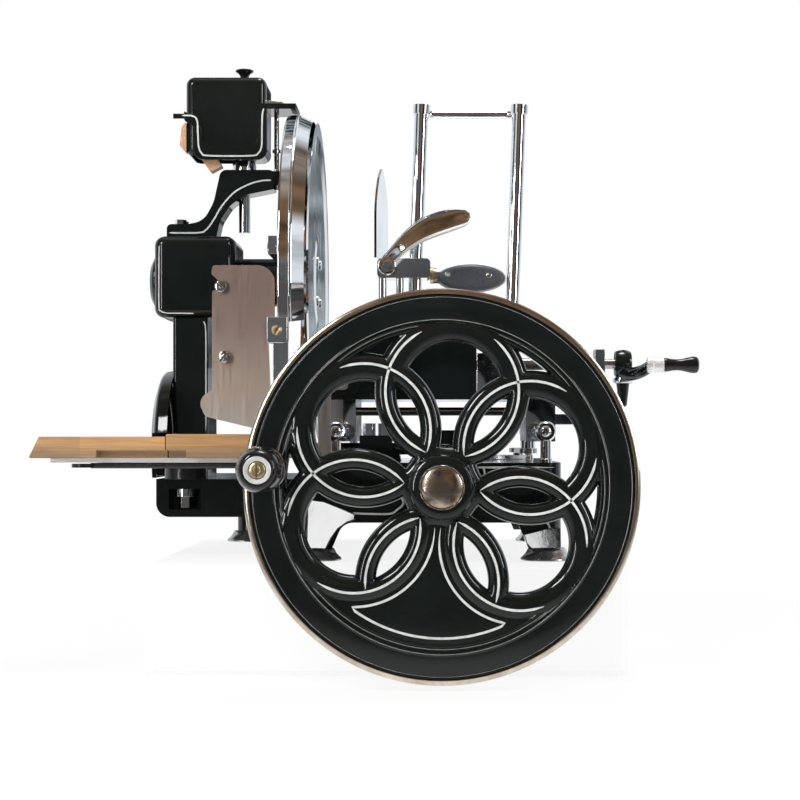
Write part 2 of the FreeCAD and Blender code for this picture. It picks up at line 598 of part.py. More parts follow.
def ring(name, axis, outer, inner, start, length):
    """A tube: a bar with a bore right through."""
    return cut(name, rod(f"{name}_body", axis, outer, start, length),
               rod(f"{name}_bore", axis, inner, start, length))


def corner_edges(corners):
    """Lines and arcs through corners (x, y, radius), each corner rounded to its radius."""
    edges = []
    count = len(corners)
    starts = []
    ends = []
    arcs = []
    for index, (x, y, radius) in enumerate(corners):
        here = Vector(x, y, 0)
        before = Vector(*corners[index - 1][:2], 0) - here
        after = Vector(*corners[(index + 1) % count][:2], 0) - here
        if radius <= 0:
            starts.append(here)
            ends.append(here)
            arcs.append(None)
            continue
        half = before.getAngle(after) / 2
        reach = radius / math.tan(half)
        entry = here + before.normalize() * reach
        leave = here + after.normalize() * reach
        middle = here + (before + after).normalize() * (radius / math.sin(half) - radius)
        starts.append(entry)
        ends.append(leave)
        arcs.append(Part.Arc(entry, middle, leave))
    for index in range(count):
        if arcs[index]:
            edges.append(arcs[index])
        following = starts[(index + 1) % count]
        if ends[index].distanceToPoint(following) > 1e-6:
            edges.append(Part.LineSegment(ends[index], following))
    return edges


def sketch_body(name, plane, corners):
    """A PartDesign body with one closed sketch on one of its own origin planes."""
    body = document.addObject("PartDesign::Body", name)
    sketch = body.newObject("Sketcher::SketchObject", f"{name}_sketch")
    origin_plane = [feature for feature in body.Origin.OriginFeatures if feature.Role == plane][0]
    sketch.AttachmentSupport = [(origin_plane, "")]
    sketch.MapMode = "FlatFace"
    for edge in corner_edges(corners):
        sketch.addGeometry(edge, False)
    return body, sketch


def slab(name, plane, corners, thickness, at=("0", "0", "0"), turn=None):
    """A plate with an outline. XY plates rise along +Z, XZ plates grow along -Y, YZ along +X."""
    body, sketch = sketch_body(name, f"{plane}_Plane", corners)
    pad = body.newObject("PartDesign::Pad", f"{name}_pad")
    pad.Profile = sketch
    bind(pad, "Length", thickness)
    body.Tip = pad
    return place(body, *at, turn)


def turned(name, axis, at, corners):
    """A turned piece: (radius, height) corners revolved about the axis through a point."""
    body, sketch = sketch_body(name, "XZ_Plane", corners)
    revolution = body.newObject("PartDesign::Revolution", f"{name}_revolution")
    revolution.Profile = sketch
    revolution.ReferenceAxis = (sketch, ["V_Axis"])
    revolution.Angle = 360
    body.Tip = revolution
    return place(body, *at, AXIS_TURNS[axis])


def shaped(name, shape, placement=None):
    """A piece whose shape is worked out here from the sheet's values."""
    feature = document.addObject("Part::Feature", name)
    feature.Shape = shape
    if placement:
        feature.Placement = placement
    return feature


def softened(name, base, radius, chosen):
    """A block with chosen edges rounded; chosen is a test on an edge."""
    document.recompute()
    fillet = document.addObject("Part::Fillet", name)
    fillet.Base = base
    fillet.Edges = [(number, radius, radius) for number, edge in enumerate(base.Shape.Edges, start=1)
                    if chosen(edge)]
    return fillet


def along(axis):
    """A test for straight edges that run along one axis."""
    direction = {"X": Vector(1, 0, 0), "Y": Vector(0, 1, 0), "Z": Vector(0, 0, 1)}[axis]

    def test(edge):
        if edge.Curve.TypeId != "Part::GeomLine":
            return False
        return abs(edge.tangentAt(edge.FirstParameter).dot(direction)) > 0.99
    return test


def node(label, thing):
    """Name a finished piece; its label becomes the name of its file."""
    thing.Label = label
    NODES.append(thing)
    return thing


# ---------------------------------------------------------------------------------------------
# Base casting, feet and bearings
# ---------------------------------------------------------------------------------------------
FEET = [("foot_front_left_x", "foot_front_y"), ("foot_front_right_x", "foot_front_y"),
        ("foot_back_left_x", "foot_back_y"), ("foot_back_right_x", "foot_back_y")]


def make_feet():
    feet = []
    for number, (x, y) in enumerate(FEET):
        bell = turned(f"foot{number}", "Z", (x, y, "0"), [
            (0, 0, 0), (size("foot_radius"), 0, 0), (size("foot_radius"), size("foot_rim_height"), 0),
            (size("foot_neck_radius") + 1, size("foot_height") - 2, 3),
            (size("foot_neck_radius"), size("foot_height"), 0), (0, size("foot_height"), 0)])
        feet.append(bell)
    node("feet", group("feet", *feet))


def make_base():
    """A hollow box casting, open below, with legs at three corners and an arm for the column."""
    outer = softened("base_outer", box("base_block", ("base_left", "base_right"), ("base_front", "base_back"),
                                       ("foot_height", "base_top")), size("base_corner"), along("Z"))
    left, right = size("base_left"), size("base_right")
    width, flare = size("leg_width"), size("leg_flare")
    floor, skirt = size("foot_height"), size("base_skirt")
    front_arch = slab("base_front_arch", "XZ", [
        (left + width, floor - size("overcut"), 0), (left + width + flare, skirt, size("arch_left_corner")),
        (right - width - flare, skirt, size("arch_right_corner")),
        (right - width, floor - size("overcut"), 0)],
        "base_back - base_front + 2 * overcut", ("0", "base_back + overcut", "0"))
    side_arch = box("base_side_arch", ("base_left - overcut", "base_right + overcut"),
                    ("base_front + leg_depth", "base_back - leg_depth"),
                    ("foot_height - overcut", "base_skirt"))
    no_leg = box("base_no_leg", ("base_left - overcut", "crank_x"),
                 ("base_back - leg_depth - overcut", "base_back + overcut"),
                 ("foot_height - overcut", "base_skirt"))
    inside = box("base_inside", ("base_left + base_wall", "base_right - base_wall"),
                 ("base_front + base_wall", "base_back - base_wall"),
                 ("foot_height - overcut", "base_top - base_wall"))
    shell = cut("base_shell", outer, front_arch, side_arch, no_leg, inside)

    arm_block = box("arm_block", ("arm_left", "base_left + overcut"), ("arm_front", "base_back"),
                    ("arm_bottom", "arm_top"))
    arm = softened("arm_rounded", arm_block, size("arm_corner"),
                   lambda edge: along("Y")(edge) and edge.CenterOfMass.x < size("arm_left") + size("weld")
                   and edge.CenterOfMass.z < size("arm_bottom") + size("weld"))
    arm_inside = box("arm_inside", ("arm_left + base_wall", "base_left"),
                     ("arm_front + lug_pocket_depth + lug_thickness", "base_back - base_wall"),
                     ("arm_bottom - overcut", "arm_top - base_wall"))
    pocket = box("arm_pocket", ("pivot_x - lug_pocket_half_width", "pivot_x + lug_pocket_half_width"),
                 ("arm_front - overcut", "arm_front + lug_pocket_depth"),
                 ("arm_bottom + base_wall", "arm_top - lug_thickness"))
    pivot_hole = rod("arm_pivot_hole", "Z", "pivot_shank_radius + weld", ("pivot_x", "pivot_y", "arm_bottom"),
                     "arm_top - arm_bottom + overcut")
    arm_shell = cut("arm_shell", arm, arm_inside, pocket, pivot_hole)

    pads = []
    for number, (x, y) in enumerate(FEET):
        top = "arm_top - base_wall" if x == "foot_back_left_x" else "base_top - base_wall"
        pads.append(rod(f"leg_pad{number}", "Z", "foot_neck_radius - leg_pad_inset", (x, y, "foot_height"),
                        f"{top} + weld - foot_height"))
    web = box("shaft_web", ("-web_half_width", "web_half_width"),
              (WEB_FRONT, f"{WEB_FRONT} + back_bush_length"),
              ("wheel_axis_z - wheel_tail_radius - bush_wall - base_wall", "base_top - base_wall + weld"))
    crank_boss = rod("crank_boss", "Z", "crank_shaft_radius + bush_wall + crank_boss_wall",
                     ("crank_x", "crank_axis_y", CRANK_BOSS_BOTTOM), "base_wall + crank_boss_drop")
    whole = fuse("base_whole", shell, arm_shell, web, crank_boss, *pads)

    shaft_bore = rod("base_shaft_bore", "Y", "wheel_shaft_radius + bush_wall",
                     ("0", "base_front - overcut", "wheel_axis_z"), "base_wall + 2 * overcut")
    web_bore = rod("base_web_bore", "Y", "wheel_tail_radius + bush_wall",
                   ("0", f"{WEB_FRONT} - overcut", "wheel_axis_z"), "back_bush_length + 2 * overcut")
    gear_slot = box("base_gear_slot", ("-gear_slot_half_width", "gear_slot_half_width"),
                    ("-gear_cover_half_depth + gear_cover_wall", "gear_cover_half_depth - gear_cover_wall"),
                    ("base_top - base_wall - overcut", "base_top + overcut"))
    recess = box("base_pinion_recess", ("-pinion_recess_half", "pinion_recess_half"),
                 ("crank_axis_y - pinion_width * 2 / 3", "crank_axis_y + pinion_width * 2 / 3"),
                 ("base_top - base_wall - overcut", "base_top - base_wall + pinion_recess_height"))
    crank_bore = rod("base_crank_bore", "Z", "crank_shaft_radius + bush_wall",
                     ("crank_x", "crank_axis_y", f"{CRANK_BOSS_BOTTOM} - overcut"),
                     "base_wall + crank_boss_drop + 2 * overcut")
    node("base_casting", cut("base_casting", whole, shaft_bore, web_bore, gear_slot, recess, crank_bore))


def make_bearings():
    """The bearing nose at the front, the gear cover, the pedestal and every bronze bush."""
    bore = size("wheel_shaft_radius") + size("bush_wall")
    tip, body = size("bearing_tip_radius"), size("bearing_body_radius")
    flange, reach = size("bearing_flange_radius"), size("bearing_reach")
    shoulder = reach - size("bearing_flange_thickness")
    node("front_bearing", turned("front_nose", "Y", ("0", BEARING_FRONT, "wheel_axis_z"), [
        (bore, 0, 0), (tip, 0, 2), (body - 2, reach / 3, 6), (body, shoulder, 2), (flange, shoulder, 1),
        (flange, reach, 0), (bore, reach, 0)]))

    tall = "gear_cover_half_depth + gear_cover_lip"
    narrow = box("cover_narrow", ("gear_cover_left", "gear_cover_right"),
                 ("-gear_cover_half_depth", "gear_cover_half_depth"), ("base_top", f"cross_z + {tall}"))
    flange = box("cover_flange", ("-gear_cover_flange", "gear_cover_flange"),
                 ("-gear_cover_half_depth - gear_cover_lip", "gear_cover_half_depth + gear_cover_lip"),
                 ("base_top", "base_top + gear_cover_flange_height"))
    hollow = box("cover_hollow", ("gear_cover_left + gear_cover_thick_wall",
                                  "gear_cover_right - gear_cover_bush_wall"),
                 ("-gear_cover_half_depth + gear_cover_wall", "gear_cover_half_depth - gear_cover_wall"),
                 ("base_top - overcut", f"cross_z + {tall} - gear_cover_wall"))
    left_hole = rod("cover_left_hole", "X", "cross_shaft_radius + seat_gap",
                    ("gear_cover_left - overcut", "0", "cross_z"), "gear_cover_thick_wall + 2 * overcut")
    right_bore = rod("cover_right_bore", "X", "cross_shaft_radius + cross_bush_wall",
                     ("gear_cover_right - gear_cover_bush_wall - overcut", "0", "cross_z"),
                     "gear_cover_bush_wall + 2 * overcut")
    node("gear_cover", cut("gear_cover", fuse("cover_hump", narrow, flange), hollow, left_hole, right_bore))

    left, right, deck = size("pedestal_left"), size("pedestal_right"), size("base_top")
    top = size("cross_z") + 2 * size("cross_shaft_radius")
    flare = size("pedestal_flare")
    pedestal = slab("pedestal_body", "XZ", [
        (left - flare, deck, 0), (right + flare - 2, deck, 0), (right + flare - 4, deck + 7, 5),
        (right, deck + 12, 6), (right - 5, top, 6), (left + 5, top, 6), (left, deck + 12, 6),
        (left - flare + 2, deck + 7, 5)],
        "2 * pedestal_half_depth", ("0", "pedestal_half_depth", "0"))
    ledge = box("pedestal_ledge", ("pedestal_left", "pedestal_right - overcut"),
                ("-pedestal_half_depth - ledge_depth", "overcut - pedestal_half_depth"),
                ("base_top", "base_top + ledge_height"))
    stand = fuse("pedestal_stand", pedestal, ledge)
    stand_bore = rod("pedestal_bore", "X", "cross_shaft_radius + cross_bush_wall",
                     ("pedestal_left - pedestal_flare", "0", "cross_z"),
                     "pedestal_right - pedestal_left + 2 * pedestal_flare")
    node("shaft_pedestal", cut("shaft_pedestal", stand, stand_bore))

    cross_bush = ("cross_shaft_radius + cross_bush_wall", "cross_shaft_radius + running_gap")
    rings = [
        ring("bush_front", "Y", "wheel_shaft_radius + bush_wall", "wheel_shaft_radius + running_gap",
             ("0", BEARING_FRONT, "wheel_axis_z"), "bearing_reach + base_wall"),
        ring("bush_back", "Y", "wheel_tail_radius + bush_wall", "wheel_tail_radius + running_gap",
             ("0", WEB_FRONT, "wheel_axis_z"), "back_bush_length"),
        ring("bush_crank", "Z", "crank_shaft_radius + bush_wall", "crank_shaft_radius + running_gap",
             ("crank_x", "crank_axis_y", CRANK_BOSS_BOTTOM), "base_wall + crank_boss_drop"),
        ring("bush_cross_right", "X", *cross_bush,
             ("gear_cover_right - gear_cover_bush_wall", "0", "cross_z"), "gear_cover_bush_wall"),
        ring("bush_pedestal", "X", *cross_bush,
             ("pedestal_left + cross_bush_wall", "0", "cross_z"),
             "pedestal_right - pedestal_left - 2 * cross_bush_wall"),
        ring("bush_column_right", "X", *cross_bush,
             ("column_right - column_wall", "0", "cross_z"), "column_wall"),
        ring("bush_column_left", "X", *cross_bush,
             ("column_left", "0", "cross_z"), "column_wall"),
        ring("bush_blade_left", "X", "blade_shaft_radius + bush_wall", "blade_shaft_radius + running_gap",
             ("housing_left", "0", "blade_axis_z"), "column_left + column_wall - housing_left"),
        ring("bush_blade_right", "X", "blade_shaft_radius + bush_wall", "blade_shaft_radius + running_gap",
             ("column_right - column_wall", "0", "blade_axis_z"), "nose_end - column_right + column_wall"),
    ]
    node("bronze_bushes", group("bronze_bushes", *rings))


def make_guides():
    """Two guide rods on four pillars."""
    pieces = []
    for side, x in (("left", "guide_left_x"), ("right", "guide_right_x")):
        pieces.append(rod(f"guide_{side}", "Y", "guide_radius", (x, "pillar_front", "guide_z"),
                          "pillar_back - pillar_front"))
        for end, y in (("front", "pillar_front"), ("back", "pillar_back - pillar_depth")):
            block = box(f"pillar_{side}_{end}", (f"{x} - pillar_width / 2", f"{x} + pillar_width / 2"),
                        (y, f"{y} + pillar_depth"), ("base_top", "guide_z + guide_radius + pillar_wall"))
            hole = rod(f"pillar_hole_{side}_{end}", "Y", "guide_radius + running_gap",
                       (x, f"{y} - overcut", "guide_z"), "pillar_depth + 2 * overcut")
            pieces.append(cut(f"pillar_bored_{side}_{end}", block, hole))
    node("guide_rods", group("guide_rods", *pieces))


# ---------------------------------------------------------------------------------------------
# Flywheel with its shaft, knob and gears
# ---------------------------------------------------------------------------------------------
ROSETTE_COUNT = 6
FILLED_FIELD = 4


def disc_at(radius, angle, depth, front):
    """A round cutter of the rosette, standing at one of the six circle centres."""
    reach = size("rosette_radius")
    centre = Vector(reach * math.cos(math.radians(angle)), front, reach * math.sin(math.radians(angle)))
    return Part.makeCylinder(radius, depth, centre, Vector(0, 1, 0))


def make_flywheel():
    """Stepped rim, six overlapping rings with one field left filled, hub, band, shaft and cap."""
    face = size("wheel_face_y")
    rim_outer = size("wheel_radius") - size("band_thickness") - size("running_gap")
    web_front = face + size("step_depth")
    web_depth = size("web_thickness")
    axis = Vector(0, 1, 0)
    wheel = Part.makeCylinder(rim_outer, size("wheel_depth"), Vector(0, face, 0), axis)
    wheel = wheel.cut(Part.makeCylinder(size("ring_inner_radius"), size("step_depth"), Vector(0, face, 0),
                                        axis))
    wheel = wheel.cut(Part.makeCylinder(size("ring_inner_radius"), size("wheel_depth"),
                                        Vector(0, web_front + web_depth, 0), axis))
    over = size("overcut")
    start = size("rosette_degrees")
    cut_front = web_front - over
    cut_depth = web_depth + 2 * over
    petal = size("petal_radius")
    for number in range(ROSETTE_COUNT):
        angle = start + 60 * number
        before = disc_at(petal, angle - 60, cut_depth, cut_front)
        after = disc_at(petal, angle + 60, cut_depth, cut_front)
        if number != FILLED_FIELD:
            window = disc_at(size("window_radius"), angle, cut_depth, cut_front).cut(before).cut(after)
            corners = [edge for edge in window.Edges if along("Y")(edge) and edge.Length > web_depth]
            wheel = wheel.cut(window.makeFillet(size("window_corner"), corners))
        lens = disc_at(size("lens_radius"), angle, cut_depth, cut_front).common(
            disc_at(size("lens_radius"), angle + 60, cut_depth, cut_front))
        tips = [edge for edge in lens.Edges if along("Y")(edge) and edge.Length > web_depth]
        wheel = wheel.cut(lens.makeFillet(size("window_corner"), tips))
        if number not in (FILLED_FIELD - 1, FILLED_FIELD):
            own = disc_at(petal, angle, cut_depth, cut_front)
            limit = Part.makeCylinder(size("step_radius"), cut_depth, Vector(0, cut_front, 0), axis)
            middle = math.radians(angle + 30)
            reach = size("step_radius")
            gap = Part.makeCylinder(size("tip_gap_radius"), cut_depth,
                                    Vector(reach * math.cos(middle), cut_front, reach * math.sin(middle)),
                                    axis)
            wheel = wheel.cut(gap.common(limit).cut(own).cut(after))
    hub_front, hub_length = face - size("wheel_hub_front"), size("wheel_hub_front") + size("wheel_hub_back")
    hub = Part.makeCylinder(size("wheel_hub_radius"), hub_length, Vector(0, hub_front, 0), axis)
    bore = Part.makeCylinder(size("wheel_shaft_radius") + size("running_gap"), hub_length + 2 * over,
                             Vector(0, hub_front - over, 0), axis)
    knob = math.radians(size("knob_degrees"))
    spindle_hole = Part.makeCylinder(
        size("knob_spindle_radius") + size("running_gap"), size("wheel_depth") + 2 * over,
        Vector(size("knob_orbit") * math.cos(knob), face - over, size("knob_orbit") * math.sin(knob)), axis)
    wheel = wheel.fuse(hub).cut(bore).removeSplitter().cut(spindle_hole)
    node("flywheel", place(shaped("flywheel", wheel), "0", "0", "wheel_axis_z"))

    node("rim_band", ring("rim_band", "Y", "wheel_radius", "wheel_radius - band_thickness",
                          ("0", "wheel_face_y - band_lip", "wheel_axis_z"), "wheel_depth + 2 * band_lip"))
    thick, thin, step = size("wheel_shaft_radius"), size("wheel_tail_radius"), size("wheel_shaft_step")
    front, back = face - size("wheel_hub_front"), size("wheel_shaft_back")
    node("flywheel_shaft", turned("flywheel_shaft", "Y", ("0", "0", "wheel_axis_z"), [
        (0, front, 0), (thick, front, 0), (thick, step, 0), (thin, step + 2, 0), (thin, back, 0),
        (0, back, 0)]))
    radius, height = size("cap_radius"), size("cap_height")
    node("hub_cap", turned("hub_cap", "Y", ("0", "wheel_face_y - wheel_hub_front - cap_height",
                                            "wheel_axis_z"), [
        (0, 0, 0), (radius * 0.62, 0.6, 9), (radius * 0.94, 3, 4), (radius, height, 0), (0, height, 0)]))


def make_knob():
    """Steel collar and spindle on the flywheel, and the barrel that spins on the spindle."""
    at_collar = (KNOB_X, "wheel_face_y - knob_collar_height", KNOB_Z)
    spindle, collar_radius = size("knob_spindle_radius"), size("knob_collar_radius")
    length, gap = size("knob_length"), size("seat_gap")
    back = size("knob_collar_height")
    spindle_turned = turned("knob_spindle_turned", "Y", at_collar, [
        (0, -length - gap, 0), (spindle, -length - gap, 0), (spindle, 0, 0), (collar_radius - 2, 0, 2),
        (collar_radius, back - 3, 1), (collar_radius, back - 1.2, 0), (collar_radius - 5, back - 1.2, 0),
        (collar_radius - 5, back, 0), (spindle, back, 0),
        (spindle, back + 20, 0), (0, back + 20, 0)])
    bore = spindle + size("running_gap")
    waist, widest = size("knob_waist_radius"), size("knob_radius")
    node("knob_barrel", turned("knob_barrel", "Y", at_collar, [
        (bore, -length, 0), (widest - 5, -length, 2), (widest - 1, -length + 7, 8),
        (widest, -length + 24, 60),
        (widest - 2, -length + 42, 14), (waist + 1, -8, 8), (waist, -gap, 0), (bore, -gap, 0)]))
    head = turned("knob_screw_head", "Y", at_collar, [
        (0, -length - gap - size("knob_screw_height"), 0),
        (size("knob_screw_radius"), -length - gap - size("knob_screw_height") + 0.8, 1.2),
        (size("knob_screw_radius"), -length - gap, 0), (0, -length - gap, 0)])
    slot = box("knob_slot", (f"{KNOB_X} - 0.8", f"{KNOB_X} + 0.8"),
               ("wheel_face_y - knob_collar_height - knob_length - seat_gap - knob_screw_height - overcut",
                "wheel_face_y - knob_collar_height - knob_length - seat_gap - knob_screw_height / 2"),
               (f"{KNOB_Z} - 10", f"{KNOB_Z} + 10"))
    node("knob_spindle", group("knob_spindle", spindle_turned, cut("knob_screw", head, slot)))


GEAR_SECTION_COUNT = 8


def helical_gear(teeth, width, bore, first_tooth):
    """A right-hand helical gear about Z, centred on z = 0, as a ruled loft through turned outlines."""
    module = size("gear_module")
    transverse = module * math.sqrt(2)
    pitch = teeth * transverse / 2
    half_tooth = math.pi * transverse / 4 - size("gear_backlash") / 2
    slope = math.tan(math.radians(20)) * math.sqrt(2)
    levels = [(pitch - 1.25 * module, half_tooth + 1.25 * module * slope),
              (pitch, half_tooth), (pitch + module, half_tooth - module * slope)]
    outline = []
    for tooth in range(teeth):
        centre = first_tooth + 2 * math.pi * tooth / teeth
        flank = [(radius, min(half / radius, 0.97 * math.pi / teeth)) for radius, half in levels]
        outline += [(radius, centre - angle) for radius, angle in flank]
        outline += [(radius, centre + angle) for radius, angle in reversed(flank)]
    wires = []
    for level in range(GEAR_SECTION_COUNT + 1):
        z = width * (level / GEAR_SECTION_COUNT - 0.5)
        turn = z / pitch
        points = [Vector(radius * math.cos(angle + turn), radius * math.sin(angle + turn), z)
                  for radius, angle in outline]
        wires.append(Part.makePolygon(points + points[:1]))
    blank = Part.makeLoft(wires, True, True)
    return blank.cut(Part.makeCylinder(bore, width + 2, Vector(0, 0, -width / 2 - 1)))


def make_gears():
    gap = size("running_gap")
    drive_teeth, pinion_teeth = int(size("drive_teeth")), int(size("pinion_teeth"))
    cross_teeth, crank_teeth = int(size("cross_teeth")), int(size("crank_teeth"))
    drive = helical_gear(drive_teeth, size("drive_gear_width"), size("wheel_shaft_radius") + gap,
                         -math.pi / 2)
    drive_gear = place(shaped("drive_gear", drive), "0", "0", "wheel_axis_z", AXIS_TURNS["Y"])
    pinion = helical_gear(pinion_teeth, size("pinion_width"), size("wheel_tail_radius") + gap, 0)
    crank_pinion = place(shaped("crank_pinion", pinion), "0", "crank_axis_y", "wheel_axis_z", AXIS_TURNS["Y"])
    node("shaft_gears", group("shaft_gears", drive_gear, crank_pinion))
    cross = helical_gear(cross_teeth, size("cross_gear_width"), size("cross_shaft_radius") + gap,
                         math.pi / cross_teeth)
    node("cross_gear", place(shaped("cross_gear", cross), "0", "0", "cross_z", AXIS_TURNS["X"]))
    crank = helical_gear(crank_teeth, size("crank_gear_width"), size("crank_shaft_radius") + gap,
                         math.pi + math.pi / crank_teeth)
    node("crank_gear", place(shaped("crank_gear", crank), "crank_x", "crank_axis_y", "wheel_axis_z"))
    cross_bar = rod("cross_bar", "X", "cross_shaft_radius", ("cross_shaft_left", "0", "cross_z"),
                    "cross_shaft_right - cross_shaft_left")
    node("cross_shaft", group("cross_shaft", cross_bar, sprocket("lower_sprocket", "cross_z")))


def make_crank_drive():
    """Crank disc with its pin, and the connecting rod that hangs on the wrist pin."""
    disc = rod("crank_disc_plate", "Z", "crank_disc_radius", ("crank_x", "crank_axis_y", DISC_BOTTOM),
               "crank_disc_thickness")
    shaft = rod("crank_shaft", "Z", "crank_shaft_radius", ("crank_x", "crank_axis_y", "crank_shaft_bottom"),
                f"{DISC_TOP} - crank_shaft_bottom")
    pin = rod("crank_disc_pin", "Z", "crank_pin_radius",
              ("crank_x + crank_throw", "crank_axis_y", DISC_BOTTOM),
              f"{PIN_TOP} - {DISC_BOTTOM}")
    node("crank_disc", fuse("crank_disc", disc, shaft, pin))

    pin_x = size("crank_x") + size("crank_throw")
    reach = Vector(pin_x - size("wrist_x"), size("crank_axis_y") - size("wrist_y"), 0)
    half = size("rod_half_width")
    turn = FreeCAD.Rotation(Vector(1, 0, 0), reach)
    bar = slab("rod_bar", "XY", [(0, -half, 0), (reach.Length, -half, 0), (reach.Length, half, 0),
                                 (0, half, 0)],
               "rod_thickness", ("wrist_x", "wrist_y", ROD_BOTTOM), turn)
    eye_near = rod("rod_eye_near", "Z", "rod_eye_radius", ("wrist_x", "wrist_y", ROD_BOTTOM), "rod_thickness")
    eye_far = rod("rod_eye_far", "Z", "rod_eye_radius",
                  ("crank_x + crank_throw", "crank_axis_y", ROD_BOTTOM), "rod_thickness")
    whole = fuse("rod_whole", bar, eye_near, eye_far)
    near_bore = rod("rod_near_bore", "Z", "wrist_radius + running_gap",
                    ("wrist_x", "wrist_y", f"{ROD_BOTTOM} - overcut"), "rod_thickness + 2 * overcut")
    far_bore = rod("rod_far_bore", "Z", "crank_pin_radius + running_gap",
                   ("crank_x + crank_throw", "crank_axis_y", f"{ROD_BOTTOM} - overcut"),
                   "rod_thickness + 2 * overcut")
    node("connecting_rod", cut("connecting_rod", whole, near_bore, far_bore))


# ---------------------------------------------------------------------------------------------
# Column, chain and blade shaft housing
# ---------------------------------------------------------------------------------------------
def sprocket(name, z):
    """A chain wheel about X in the plane of the chain."""
    teeth = int(size("chain_teeth"))
    pitch_radius = size("chain_pitch") / (2 * math.sin(math.pi / teeth))
    root, tip = pitch_radius - size("sprocket_root_depth"), pitch_radius + size("sprocket_tip_rise")
    points = []
    for tooth in range(teeth):
        centre = 2 * math.pi * tooth / teeth
        for radius, part in ((root, -0.30), (tip, -0.12), (tip, 0.12), (root, 0.30)):
            angle = centre + part * 2 * math.pi / teeth
            points.append(Vector(radius * math.cos(angle), radius * math.sin(angle), 0))
    thickness, hub_width = size("sprocket_thickness"), size("sprocket_hub_width")
    wheel = Part.Face(Part.makePolygon(points + points[:1])).extrude(Vector(0, 0, thickness))
    wheel.translate(Vector(0, 0, -thickness / 2))
    hub = Part.makeCylinder(size("sprocket_hub_radius"), hub_width, Vector(0, 0, -hub_width / 2))
    shaft = size("blade_shaft_radius") if z == "blade_axis_z" else size("cross_shaft_radius")
    over = size("overcut")
    bore = Part.makeCylinder(shaft + size("running_gap"), hub_width + 2 * over,
                             Vector(0, 0, -hub_width / 2 - over))
    return place(shaped(name, wheel.fuse(hub).cut(bore)), "chain_x", "0", z, AXIS_TURNS["X"])


def make_chain():
    """A chain as two loops of link plates, tied by pins along the straight runs."""
    teeth = int(size("chain_teeth"))
    pitch_radius = size("chain_pitch") / (2 * math.sin(math.pi / teeth))
    low, high = size("cross_z"), size("blade_axis_z")

    def loop(radius, thickness, x):
        axis = Vector(1, 0, 0)
        ends = Part.makeCylinder(radius, thickness, Vector(x, 0, low), axis).fuse(
            Part.makeCylinder(radius, thickness, Vector(x, 0, high), axis))
        return ends.fuse(Part.makeBox(thickness, 2 * radius, high - low, Vector(x, -radius, low)))

    half, plate = size("chain_inner_half"), size("chain_plate_thickness")
    outer, inner = pitch_radius + size("chain_plate_half"), pitch_radius - size("chain_plate_half")
    whole = None
    for x in (-half - plate, half):
        plates = loop(outer, plate, x).cut(loop(inner, plate, x))
        whole = plates if whole is None else whole.fuse(plates)
    pitch = size("chain_pitch")
    count = int((high - low - 2 * size("chain_pin_start")) / pitch)
    first = (low + high) / 2 - (count - 1) * pitch / 2
    lap = size("chain_pin_lap")
    for number in range(count):
        for y in (-pitch_radius, pitch_radius):
            start = Vector(-half - lap, y, first + number * pitch)
            whole = whole.fuse(Part.makeCylinder(size("chain_pin_radius"), 2 * (half + lap), start,
                                                 Vector(1, 0, 0)))
    node("drive_chain", place(shaped("drive_chain", whole.removeSplitter()), "chain_x", "0", "0"))


